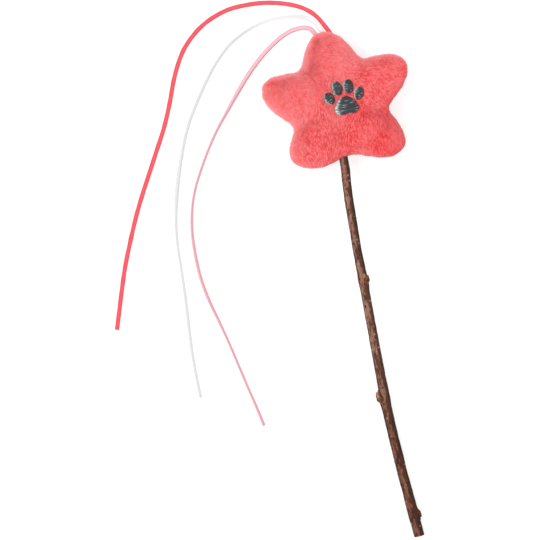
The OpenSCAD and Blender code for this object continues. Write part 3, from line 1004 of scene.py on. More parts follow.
@dataclass(frozen=True)
class InnerFinish:
    """Finish of a piece inside the star: loose fibre, pressed fibre or set glue."""

    name: str
    colour: Colour
    shade: Colour
    grain_scale: float
    depth: float
    roughness: float
    coat: float = 0.0
    grain_share: float = 0.5
    patch_scale: float = 120.0
    patch_softness: float = 0.2
    patch_share: float = 0.3

    def material(self) -> Material:
        """Makes the finish, with a fibrous or wavy grain.

        Returns:
            The material.
        """
        material, tree = new_material(self.name, self.colour)
        place = tree.place()
        grain = tree.group(EFFECTS.grain, Vector=place, Scale=self.grain_scale)
        softness = self.patch_softness
        patches = tree.group(EFFECTS.patches, Vector=place, Scale=self.patch_scale, Softness=softness)
        mixed = tree.blend(tree.times(grain["Value"], self.grain_share), self.colour, self.shade)
        tree.surface(
            Base_Color=tree.blend(tree.times(patches["Mask"], self.patch_share), mixed, self.shade),
            Roughness=self.roughness,
            Coat_Weight=self.coat,
            Normal=tree.bump(grain["Height"], self.depth, 0.7),
        )
        return material


@dataclass
class StarForm:
    """Outline and crowns of the star, as the model has them."""

    reach: float = 0.057
    front_crown: float = 0.018
    back_crown: float = 0.0185
    belly_cut: float = 0.0005
    arm_angles: tuple[float, ...] = (20.0, 91.0, 159.0, 223.0, 314.0)
    arm_shares: tuple[float, ...] = (0.98, 0.88, 0.94, 0.93, 1.0)
    notch_angles: tuple[float, ...] = (-18.0, 50.0, 129.0, 199.5, 274.5)
    notch_shares: tuple[float, ...] = (0.64, 0.615, 0.595, 0.625, 0.68)
    crown_flat: float = 2.6
    crown_round: float = 0.5
    valley_share: float = 0.07
    outline_step: float = 0.5

    def __post_init__(self) -> None:
        """Lists the corners in turn and finds the star's middle in the frame."""
        turns = np.stack([self.notch_angles, self.arm_angles], 1).ravel()
        shares = np.stack([self.notch_shares, self.arm_shares], 1).ravel()
        self.corner_turns = np.append(turns, turns[0] + FULL_TURN)
        self.corner_reaches = np.append(shares, shares[0]) * self.reach
        self.seam_height = self.back_crown - self.belly_cut
        outline = self.outline(np.arange(0.0, FULL_TURN, self.outline_step))
        low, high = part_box("star_front_panel")
        self.middle = np.array([
            (low.x + high.x - outline[:, 0].max() - outline[:, 0].min()) / 2.0,
            high.y - outline[:, 1].max(),
            self.seam_height,
        ])

    def _between(self, bearings: Array) -> tuple[Array, Array]:
        """Finds where bearings lie between the outline's corners.

        Args:
            bearings: the bearings.

        Returns:
            The corner before each, and the half wave of the cosine that rises from there to the next corner.
        """
        turns = self.corner_turns
        wrapped = (bearings - turns[0]) % FULL_TURN + turns[0]
        k = np.clip(np.searchsorted(turns, wrapped, side="right") - 1, 0, len(turns) - 2)
        share = (wrapped - turns[k]) / (turns[k + 1] - turns[k])
        return k, 0.5 - 0.5 * np.cos(math.pi * share)

    def reach_at(self, bearings: Array) -> Array:
        """Distance of the outline at bearings: a half wave of the cosine from each corner to the next."""
        k, rise = self._between(bearings)
        return self.corner_reaches[k] + (self.corner_reaches[k + 1] - self.corner_reaches[k]) * rise

    def notch_weight(self, bearings: Array) -> Array:
        """Returns 1 in a notch and 0 on an arm's middle line."""
        k, rise = self._between(bearings)
        return np.where(k % 2 == 0, 1.0 - rise, rise)

    def outline(self, bearings: Array) -> Array:
        """Returns the outline's points, x and y, from the star's middle."""
        return self.reach_at(bearings)[..., None] * headings(bearings)

    def corner(self, bearing: float) -> Array:
        """Returns the outline's one point at bearing."""
        return self.outline(np.array([bearing]))[0]

    def crown_share(self, shares: Array, bearings: Array) -> Array:
        """Height of a crown as a share of its top: (1 - share^flat)^round, less a valley in from a notch."""
        arch = np.maximum(0.0, 1.0 - shares**self.crown_flat) ** self.crown_round
        return arch * (1.0 - self.valley_share * self.notch_weight(bearings) * np.sin(math.pi * shares) ** 2)

    def front_height(self, places: Array) -> Array:
        """Height of the front crown over the seam.

        Args:
            places: x and y from the star's middle.

        Returns:
            The height at each.
        """
        bearings = np.degrees(np.arctan2(places[..., 1], places[..., 0]))
        shares = np.linalg.norm(places[..., :2], axis=-1) / self.reach_at(bearings)
        return self.front_crown * self.crown_share(np.minimum(shares, 1.0), bearings)


@dataclass
class LaceSizes:
    """Section of a flat lace, how evenly it is cut and how finely it is drawn."""

    width: float = 0.003
    thickness: float = 0.0014
    corner_share: float = 0.5
    flat_share: float = 0.66
    edge_share: float = 0.9
    edge_tone: float = 0.8
    held: float = 0.005
    heading: float = 112.0
    unevenness: float = 0.025
    unevenness_size: float = 0.011
    steps: int = 8

    @property
    def halves(self) -> tuple[float, float, float]:
        """Half the width, half the thickness and the radius of the corners."""
        return self.width / 2.0, self.thickness / 2.0, self.thickness / 2.0 * self.corner_share


class LaceColour(Enum):
    """Names of the three laces."""

    CORAL = "coral"
    WHITE = "white"
    PINK = "pink"


# A route's points run from the seam to the free end. Each has x and y from where the lace leaves the star, its
# height as a share of the seam's, and its roll in degrees.
ROUTES: dict[LaceColour, list[RoutePoint]] = {
    LaceColour.CORAL: [
        (-0.003, 0.006, 1, 0), (-0.006, 0.0113, 0.98, 0), (-0.01, 0.016, 0.93, 0),
        (-0.016, 0.0206, 0.84, 0), (-0.024, 0.0245, 0.68, 0), (-0.033, 0.0275, 0.5, 0),
        (-0.043, 0.0296, 0.3, 0), (-0.054, 0.0304, 0.13, 0), (-0.0653, 0.0299, 0.03, 0),
        (-0.0756, 0.0272, 0, 0), (-0.085, 0.023, 0, 0), (-0.0933, 0.0172, 0, 0), (-0.1014, 0.0093, 0, 0),
        (-0.1075, 0.0003, 0, 0), (-0.1135, -0.0118, 0, 0), (-0.1194, -0.0268, 0, 0),
        (-0.1267, -0.0428, 0, 0), (-0.1351, -0.0578, 0, 0), (-0.143, -0.0719, 0, 0),
        (-0.1509, -0.0859, 0, 0), (-0.1582, -0.1, 0, 0), (-0.1655, -0.116, 0, 0), (-0.1723, -0.132, 0, 0),
        (-0.178, -0.148, 0, 0), (-0.183, -0.163, 0, 0), (-0.187, -0.175, 0, 0),
    ],
    LaceColour.WHITE: [
        (-0.0025, 0.0055, 1, 15), (-0.006, 0.0096, 0.97, 30), (-0.0105, 0.0122, 0.92, 45),
        (-0.017, 0.0141, 0.82, 60), (-0.026, 0.0154, 0.65, 70), (-0.036, 0.0153, 0.45, 75),
        (-0.046, 0.0134, 0.25, 75), (-0.055, 0.0101, 0.1, 75), (-0.064, 0.0053, 0.02, 75),
        (-0.0717, -0.001, 0, 75), (-0.0795, -0.009, 0, 72), (-0.0874, -0.019, 0, 70),
        (-0.0945, -0.029, 0, 70), (-0.1017, -0.04, 0, 70), (-0.108, -0.052, 0, 70), (-0.113, -0.064, 0, 65),
        (-0.1175, -0.076, 0, 55), (-0.122, -0.09, 0, 50), (-0.126, -0.107, 0, 75), (-0.1285, -0.124, 0, 82),
        (-0.1295, -0.142, 0, 82), (-0.1305, -0.161, 0, 75), (-0.132, -0.18, 0, 72), (-0.1335, -0.2, 0, 75),
        (-0.134, -0.218, 0, 75), (-0.134, -0.234, 0, 75),
    ],
    LaceColour.PINK: [
        (-0.0025, 0.0042, 1, 0), (-0.006, 0.006, 0.97, 0), (-0.01, 0.0064, 0.92, 5),
        (-0.0152, 0.0061, 0.84, 10), (-0.0223, 0.0038, 0.7, 20), (-0.0295, 0, 0.53, 25),
        (-0.0376, -0.0054, 0.32, 25), (-0.0457, -0.012, 0.15, 25), (-0.0538, -0.0199, 0.05, 30),
        (-0.0623, -0.0294, 0, 45), (-0.0716, -0.0404, 0, 65), (-0.0804, -0.0509, 0, 78),
        (-0.089, -0.063, 0, 80), (-0.097, -0.076, 0, 80), (-0.104, -0.089, 0, 80), (-0.109, -0.103, 0, 78),
        (-0.112, -0.118, 0, 72), (-0.113, -0.134, 0, 66), (-0.1125, -0.151, 0, 65), (-0.11, -0.167, 0, 66),
        (-0.106, -0.183, 0, 75), (-0.102, -0.2, 0, 80), (-0.0985, -0.217, 0, 80), (-0.095, -0.234, 0, 80),
        (-0.092, -0.248, 0, 74), (-0.0895, -0.261, 0, 68),
    ],
}


@dataclass
class SuedeLace:
    """One flat suede lace, held in the seam at one end and cut bare at the other."""

    colour: LaceColour
    bearing: float
    slot: Slot
    finish: SuedeFinish
    form: StarForm
    sizes: LaceSizes = field(default_factory=LaceSizes)

    def _section(self) -> Array:
        """Oblong with rounded corners, three points to a corner and four on a flat side.

        Returns:
            Its points, anticlockwise from the right-hand edge.
        """
        half_w, half_t, corner = self.sizes.halves
        right = np.array([half_w - corner, half_t - corner]) + headings(np.array([0.0, 45.0, 90.0])) * corner
        flat = np.linspace(self.sizes.flat_share, -self.sizes.flat_share, 4) * half_w
        crown = np.stack([flat, np.full(4, half_t)], -1)
        upper = np.concatenate([right, crown, right[::-1] * [-1.0, 1.0]])
        return np.concatenate([upper, -upper])

    def _line(self) -> Array:
        """Corners of the lace's middle line from the held end on, raised so that its underside keeps the route.

        Returns:
            Places, and rolls in degrees as the fourth column.
        """
        half_w, half_t, corner = self.sizes.halves
        leaving = self.form.corner(self.bearing)
        route = np.array(ROUTES[self.colour], float)
        roll = np.radians(route[:, 3])
        half_height = np.maximum(
            half_w * np.sin(roll) + (half_t - corner) * np.cos(roll),
            (half_w - corner) * np.sin(roll) + half_t * np.cos(roll),
        )
        top = self.form.seam_height - half_t
        free = np.column_stack([leaving + route[:, :2], top * route[:, 2] + half_height, route[:, 3]])
        level = [self.form.seam_height, 0.0]
        held = leaving - self.sizes.held * headings(self.sizes.heading)
        line = np.vstack([np.append(held, level), np.append(leaving, level), free])
        line[:, :2] += self.form.middle[:2]
        return line

    def build(self) -> Piece:
        """Returns:
            The lace.
        """
        s = self.sizes
        corners = self._line()
        line = rounded_line(corners, s.steps)
        path = line[:, :3]
        across, above = line_frames(path, unit(np.cross(UP, unit(np.gradient(path, axis=0)))))
        section = self._section()
        distance = np.append(0.0, np.cumsum(np.linalg.norm(np.diff(path, axis=0), axis=1)))
        breadth = 1.0 + s.unevenness * wave_noise(distance[:, None], s.unevenness_size, Seed.LACE)
        local = np.stack(np.broadcast_arrays(section[:, 0] * breadth[:, None], section[:, 1]), -1)
        local = turned(local, line[:, 3:])
        rings = path[:, None] + local[..., :1] * across[:, None] + local[..., 1:] * above[:, None]
        rings[..., 2] = np.maximum(rings[..., 2], 0.0)
        surface = skin(rings, rings[0].mean(0), rings[-1].mean(0))
        on_edge = np.abs(section[:, 0]) > s.width / 2.0 * s.edge_share
        surface.values = {
            "across": np.append(np.tile(section[:, 0] / s.width * 2.0, len(path)), [0.0, 0.0]),
            "edge": np.append(np.tile(on_edge * s.edge_tone, len(path)), [1.0, 1.0]),
            "along": np.append(np.repeat(distance / distance[-1], len(section)), [0.0, 1.0]),
        }
        lace = place_piece(f"suede_lace_{self.colour.value}", surface, self.slot, self.finish.material())
        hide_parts(f"lace_{self.colour.value}")
        return lace


@dataclass
class TwigSizes:
    """Sizes of the twig, as the model has them, and of the detail in its bark."""

    thin_d: float = 0.006
    thick_d: float = 0.0071
    grip_d: float = 0.0073
    grip_length: float = 0.011
    free_length: float = 0.270
    sunk_length: float = 0.050
    bow: float = 0.0047
    entry_bearing: float = 265.0
    bow_shares: tuple[Span, ...] = (
        (0, 0), (0.03, 0.05), (0.1, 0.42), (0.22, 0.66), (0.4, 0.8), (0.55, 0.93),
        (0.66, 1), (0.74, 0.87), (0.82, 0.66), (0.9, 0.38), (1, 0),
    )
    ripple_share: float = 0.03
    ripple_turns: Span = (1.2, 2.1)
    swell_share: float = 0.05
    swell_reach: float = 0.00756
    ridge: float = 0.00006
    ridge_size: float = 0.0011
    ridge_squeeze: float = 0.07
    knot_size: float = 0.0032
    knot_share: float = 0.6
    smooth_ridge: float = 0.35
    grip_ridge: float = 0.4
    spot_height: float = 0.00012
    pore_tone: float = 0.8
    pit_tone: float = 1.7
    # Bearing round the twig from which light is painted on the bark.
    painted_light_bearing: float = 116.0
    face_rings: tuple[float, ...] = (0.975, 0.93, 0.72, 0.48, 0.24)
    face_bevel: float = 0.99
    rings: int = 641
    sides: int = 64


@dataclass
class Bud:
    """A pruned bud: the share of the free stretch, the turn from up to the right, its size share, how far it is
    a scar, how pale and how deep in tone, its lean towards the sawn end and how much bark is torn beside it."""

    station: float
    turn: float
    share: float
    tan: float
    pale: float
    deep: float
    slant: float
    torn: float = 0.0


@dataclass
class BudSizes:
    """Form that the buds share, by its profile of reach and height, and the marks that they leave on the bark.

    The torn patch is placed by its distance towards the thin end and its turn round the twig, and sized by its
    reach along the twig and round it.
    """

    foot: float = 0.0054
    height: float = 0.0021
    length: float = 1.45
    profile: tuple[Span, ...] = (
        (1.1, -0.55), (1.12, -0.1), (1.04, 0.16), (0.92, 0.26), (0.84, 0.3), (0.8, 0.44), (0.78, 0.62),
        (0.7, 0.82), (0.58, 0.95), (0.47, 1.0), (0.38, 0.96), (0.31, 0.8), (0.2, 0.72), (0.08, 0.74),
    )
    profile_steps: int = 3
    sides: int = 40
    ragged_share: float = 0.07
    ragged_pace: float = 1.5
    ragged_size: float = 1.6
    bump_share: float = 0.05
    bump_size: float = 0.0013
    tan_span: Span = (0.05, 0.4)
    low_span: Span = (-0.35, 0.55)
    # Painted light on the buds and their collars, on the bark's scale of painted light and shade.
    sun: float = 0.85
    side_focus: float = 2.2
    collar: float = 0.00085
    collar_at: float = 0.0016
    collar_reach: float = 0.0042
    scar_tone: float = 0.8
    scar_reach: float = 0.0056
    scar_span: Span = (0.4, 0.85)
    pale_reach: float = 0.012
    torn_at: Span = (0.0018, 66.0)
    torn_size: Span = (0.0023, 0.0008)
    torn_span: Span = (0.25, 0.6)


@dataclass(frozen=True)
class Spots:
    """Small oval bells at random places on the bark, which stand for its pores or its pits.

    The breadth is measured round the twig, as a share of the length along it, and reach is the least and the
    largest reach of a bell along the twig.
    """

    seed: int
    count: int
    breadth: float
    reach: Span

    def on(self, place: Array, span: Span) -> Array:
        """Sums the bells.

        Args:
            place: points on the straightened twig, as stations x sides x 3.
            span: first and last station that a bell may have.

        Returns:
            The sum at each point.
        """
        draw = np.random.default_rng(self.seed)
        stations = draw.uniform(*span, self.count)
        turns = draw.uniform(0.0, 2.0 * math.pi, self.count)
        widths = draw.uniform(*self.reach, self.count)
        total = np.zeros(place.shape[:-1])
        for station, turn, width in zip(stations, turns, widths):
            rows = np.abs(place[:, 0, 2] - station) < 4.0 * width
            near = place[rows]
            radius = np.linalg.norm(near[..., :2], axis=-1)
            gap = np.angle(np.exp(1j * (np.arctan2(near[..., 1], near[..., 0]) - turn))) * radius
            total[rows] += bell(gap, width * self.breadth) * bell(near[..., 2] - station, width)
        return total


@dataclass
class Twig:
    """Natural twig with its bark, three pruned buds and a sawn end."""

    form: StarForm
    finish: BarkFinish
    sizes: TwigSizes = field(default_factory=TwigSizes)
    bud_sizes: BudSizes = field(default_factory=BudSizes)
    buds: tuple[Bud, ...] = (
        Bud(0.317, 54.0, 0.85, 1.0, 0.0, 0.9, -0.1, 1.0), Bud(0.626, -80.0, 1.16, 1.0, 1.0, 0.75, -0.3),
        Bud(0.94, 80.0, 0.86, 0.12, 0.0, 1.2, 0.7),
    )
    pores: Spots = Spots(7, 60, 1.0, (0.00025, 0.0005))
    pits: Spots = Spots(8, 240, 0.7, (0.0004, 0.0009))
    spot_margin: float = 0.004

    def __post_init__(self) -> None:
        """Works out the twig's length, its tilt and where it enters the star."""
        s = self.sizes
        self.length = s.free_length + s.sunk_length
        self.tilt = math.asin((self.form.seam_height - s.grip_d / 2.0) / s.free_length)
        self.entry = self.form.corner(s.entry_bearing)

    def centre(self, stations: Array) -> Array:
        """Centre line, straight in the star, then bowed to the left as it falls to the table.

        Args:
            stations: distances from the thin end.

        Returns:
            The place at each.
        """
        s = self.sizes
        out = stations - s.sunk_length
        bowed = s.bow * np.interp(out / s.free_length, *np.array(s.bow_shares).T)
        return np.stack([
            self.form.middle[0] + self.entry[0] - bowed,
            self.form.middle[1] + self.entry[1] - out * math.cos(self.tilt),
            self.form.seam_height - out * math.sin(self.tilt),
        ], -1)

    def entry_place(self) -> Array:
        """Returns the centre line's place at the star's outline, from the star's middle."""
        return self.centre(np.array([self.sizes.sunk_length]))[0] - self.form.middle

    def bud_station(self, bud: Bud) -> float:
        """Returns the station of a bud from the thin end."""
        return self.sizes.sunk_length + bud.station * self.sizes.free_length

    def radius(self, stations: Array | float) -> Array | float:
        """Returns the plain radius, which grows from the thin end to the sawn one."""
        s = self.sizes
        return s.thin_d / 2.0 + (s.thick_d - s.thin_d) / 2.0 * stations / self.length

    def _marks(self, stations: Array, angles: Array) -> dict[str, Array]:
        """Marks that the buds leave on the bark, each of them a sum over the buds.

        Args:
            stations: distances from the thin end, as a column.
            angles: angles round the twig in radians from the side direction, as a row.

        Returns:
            The height of the swelling, and how far the bark is a scar, pale and torn.
        """
        s, b = self.sizes, self.bud_sizes
        swell, scar, pale, torn = np.zeros((4, *np.broadcast(stations, angles).shape))
        for bud in self.buds:
            from_bud = stations - self.bud_station(bud)
            towards = np.cos(angles - math.radians(90.0 - bud.turn))
            side = np.exp(b.side_focus * (towards - 1.0))
            swell += bud.share * s.swell_share * s.thin_d * bell(from_bud, s.swell_reach)
            swell += b.collar * bud.share * side * bell(from_bud - b.collar_at, b.collar_reach)
            scar += b.scar_tone * bud.tan * smooth_step(side * bell(from_bud, b.scar_reach), *b.scar_span)
            pale += bud.pale * bell(from_bud, b.pale_reach)
            aside = (angles - math.radians(b.torn_at[1])) * self.radius(stations) / b.torn_size[1]
            torn += bud.torn * bell(np.hypot(aside, (from_bud + b.torn_at[0]) / b.torn_size[0]), 1.0)
        scar, torn = np.clip(scar, 0.0, 1.0), smooth_step(torn, *b.torn_span)
        return {"swell": swell, "scar": scar, "pale": pale, "torn": torn}

    def _bark(self, stations: Array, turns: Array) -> tuple[Array, dict[str, Array]]:
        """Radius of the bark and what its finish reads, over a grid of stations and turns.

        The plain radius swells at each bud, most on the bud's side and just below it, and rises and falls by a
        slow two- and three-sided wave. Fine ridges run along it, pores stand on it as small bells and pits sink
        into it as others.

        Args:
            stations: distances from the thin end, as a column.
            turns: degrees round the twig from the side direction, as a row.

        Returns:
            The radius as stations x turns, and the values scar, pale, torn, pore and pit alike, and the painted
            light and shade by side.
        """
        s = self.sizes
        angles = np.radians(turns)
        plain = self.radius(stations)
        natural = smooth_step(stations, s.sunk_length, s.sunk_length + 2.0 * s.thin_d)
        natural = natural * smooth_step(self.length - stations, s.grip_length * 0.1, s.grip_length)
        slow = 2.0 * math.pi * stations / self.length
        wave = np.cos(2.0 * angles + slow * s.ripple_turns[0])
        wave = wave + 0.5 * np.sin(3.0 * angles - slow * s.ripple_turns[1])
        values = self._marks(stations, angles)
        place = raised(plain[..., None] * headings(turns), stations)
        ridges = wave_noise(place * [1.0, 1.0, s.ridge_squeeze], s.ridge_size, Seed.RIDGES, 40)
        ridges = ridges + s.knot_share * wave_noise(place, s.knot_size, Seed.KNOTS)
        span = (s.sunk_length, self.length - self.spot_margin)
        pores, pits = self.pores.on(place, span), self.pits.on(place, span)
        radius = (plain + natural * values.pop("swell")) * (1.0 + natural * s.ripple_share * wave)
        radius = radius + s.ridge * (s.smooth_ridge + (1.0 - s.smooth_ridge) * natural) * ridges
        radius = radius + natural * s.spot_height * (pores - pits)
        grip = s.grip_d / 2.0 + s.grip_ridge * s.ridge * ridges
        values["pore"] = np.clip(pores * s.pore_tone, 0.0, 1.0) * natural
        values["pit"] = np.clip(pits * s.pit_tone, 0.0, 1.0) * natural
        # Painted light and shade: how far each point faces the light's bearing.
        sun = 0.5 + 0.5 * np.cos(angles - math.radians(s.painted_light_bearing))
        values["sun"] = np.broadcast_to(sun, radius.shape)
        return np.where(stations > self.length - s.grip_length, grip, radius), values

    def _frames(self, stations: Array) -> tuple[Array, Array, Array]:
        """Returns the centre line with its directions to the right and upwards."""
        centre = self.centre(stations)
        return centre, *line_frames(centre, np.array([1.0, 0.0, 0.0]))

    def _stem(self) -> Surface:
        """Skin of the stem: rings of the bark's radius round the centre line, and a sawn face with a bevel.

        Returns:
            The surface, with sawn wood as its second material.
        """
        s = self.sizes
        stations = np.linspace(0.0, self.length, s.rings)
        turns = np.arange(s.sides) / s.sides * FULL_TURN
        radius, values = self._bark(stations[:, None], turns[None])
        centre, right, above = self._frames(stations)
        spoke = spokes(right, above, s.sides)
        rings = centre[:, None] + spoke * radius[..., None]
        rings[-1] = centre[-1] + (rings[-1] - centre[-1]) * s.face_bevel
        shares = np.array(s.face_rings)[:, None]
        cut = len(shares)
        inner = centre[0] + spoke[0] * radius[0, :, None] * shares[::-1, :, None]
        face = centre[-1] + spoke[-1] * radius[-1, :, None] * shares[..., None]
        surface = skin(np.concatenate([inner, rings, face]), centre[0], centre[-1])
        every = np.pad(stations, cut, mode="edge")
        radial = np.concatenate([radius[:1] * shares[::-1], radius, radius[-1:] * shares])
        places = raised(radial[..., None] * headings(turns), every[:, None]).reshape(-1, 3)
        surface.values["bark_place"] = np.concatenate([places, [[0.0, 0.0, 0.0], [0.0, 0.0, self.length]]])
        for name, grid in values.items():
            body = np.pad(grid, ((cut, cut), (0, 0)), mode="edge")
            surface.values[name] = np.append(body.ravel(), [0.0, 0.0])
        sawn = np.zeros((len(every) - 1, s.sides), int)
        sawn[: cut - 1], sawn[-cut + 1:] = 1, 1
        surface.part = np.concatenate([sawn.ravel(), np.ones(2 * s.sides, int)])
        return surface

    def _bud(self, bud: Bud, seed: int) -> Surface:
        """Pruned bud on its collar: a lathe form whose profile climbs a collar, a groove and a rounded rim, and
        sinks into a scar, with a ragged outline made by noise.

        Args:
            bud: the bud.
            seed: seed of its raggedness.

        Returns:
            The closed surface, with its foot sunk in the bark.
        """
        b = self.bud_sizes
        foot, height = bud.share * b.foot / 2.0, bud.share * b.height
        fine = rounded_line(np.array(b.profile), b.profile_steps)
        ring = circle(b.sides)
        ragged = wave_noise(raised(ring * b.ragged_pace, 0.0), b.ragged_size, seed, 12)
        ring = ring * (1.0 + b.ragged_share * ragged)[:, None]
        local = raised(ring * fine[:, None, :1] * foot, fine[:, 1:] * height)
        local[..., 2] += b.bump_share * height * wave_noise(local, b.bump_size, seed + 1, 16)
        station = self.bud_station(bud)
        centre, right, above = self._frames(station + np.array([-0.001, 0.0, 0.001]))
        way = unit(centre[2] - centre[0])
        turn = math.radians(bud.turn)
        outward = above[1] * math.cos(turn) + right[1] * math.sin(turn)
        axis = outward + way * bud.slant
        side = unit(np.cross(way, outward))
        root = centre[1] + outward * self.radius(station)
        stack = root - local[..., :1] * b.length * way + local[..., 1:2] * side + local[..., 2:] * axis
        surface = skin(stack[:, ::-1], *(root + axis * fine[[0, -1], 1:] * height))
        tan = np.append(np.repeat(smooth_step(fine[:, 1], *b.tan_span) * bud.tan, b.sides), [0.0, bud.tan])
        low = smooth_step(-local[:, ::-1, 0] / foot, *b.low_span).ravel()
        surface.values = {
            "scar": tan,
            "sun": np.full(len(tan), b.sun),
            "deep": np.append(low, [0.0, 1.0]) * bud.deep,
            "pale": np.full(len(tan), bud.pale),
            "bark_place": surface.points - root + [0.0, 0.0, station],
        }
        return surface

    def build(self) -> Piece:
        """Joins the stem and its buds into one piece that stands for the twig's node.

        Returns:
            The twig.
        """
        buds = [self._bud(bud, Seed.BUDS + 5 * k) for k, bud in enumerate(self.buds)]
        surface = Surface.joined([self._stem(), *buds])
        twig = place_piece("natural_twig", surface, Slot.BARK, self.finish.material(), self.finish.sawn())
        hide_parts("twig_stick")
        return twig


@dataclass(frozen=True)
class Pad:
    """A pad of the paw, an oval in shares of the paw's width: its middle, half width and height, tilt, and how
    far it swells at three corners."""

    middle: Span
    half: Span
    tilt: float = 0.0
    wave: float = 0.0

    def swell(self, ways: Array) -> Array:
        """Reach of the outline as a share of the plain oval's: a three-sided wave, drawn in at its foot.

        Args:
            ways: directions from the pad's middle, x and y, in which the oval is a circle.

        Returns:
            The share at each.
        """
        angles = np.arctan2(ways[..., 1], ways[..., 0])
        foot = np.maximum(0.0, -np.sin(angles)) ** 6
        return 1.0 + self.wave * np.cos(3.0 * (angles - math.pi / 2.0)) - self.wave * foot


@dataclass
class PawSizes:
    """Layout of the embroidered paw in shares of its width, as the model has it, and its threads.

    The dome lists lifts by the share of the way out, and the underlay its rings by that share and their drop.
    """

    width: float = 0.027
    stitch_height: float = 0.0012
    cloth_gap: float = 0.0003
    middle_share: Span = (0.19, 0.03)
    pads: tuple[Pad, ...] = (
        Pad((0.0, -0.22), (0.3, 0.235), wave=0.11),
        Pad((-0.385, 0.06), (0.115, 0.165), 22.0),
        Pad((-0.145, 0.28), (0.12, 0.18), 7.0),
        Pad((0.145, 0.28), (0.12, 0.18), -7.0),
        Pad((0.385, 0.06), (0.115, 0.165), -22.0),
    )
    dome: tuple[Span, ...] = (
        (0.0, 1.0), (0.35, 0.99), (0.7, 0.9), (0.86, 0.74), (0.95, 0.5), (1.0, 0.16), (1.12, -1.2),
    )
    underlay: tuple[Span, ...] = (
        (0.5, 0.002), (0.93, 0.002), (0.97, 0.0009), (0.93, 0.00055),
        (0.86, 0.00042), (0.7, 0.00032), (0.45, 0.00026), (0.2, 0.00024),
    )
    underlay_sides: int = 48
    outline_points: int = 720
    thread_radius: float = 0.00026
    thread_spread: Span = (0.88, 1.08)
    thread_sides: int = 7
    thread_steps: int = 17
    pitch: float = 0.00044
    overhang: float = 0.0004
    slack_span: Span = (0.2, 1.3)
    drift: float = 0.12
    unevenness: float = 0.00006
    arch_rise: float = 14.0
    low_share: float = 0.35
    dive: float = 0.0022
    dive_lean: float = 0.05
    # Painted glints of light where a thread turns down, and painted sparks.
    glint_at: Span = (0.12, 0.22)
    glint_reach: float = 0.08
    glint_span: Span = (0.35, 1.0)
    spark_at: Span = (0.3, 0.9)
    spark_reach: float = 0.05
    spark_tone: float = 0.5
    spark_above: float = 0.8


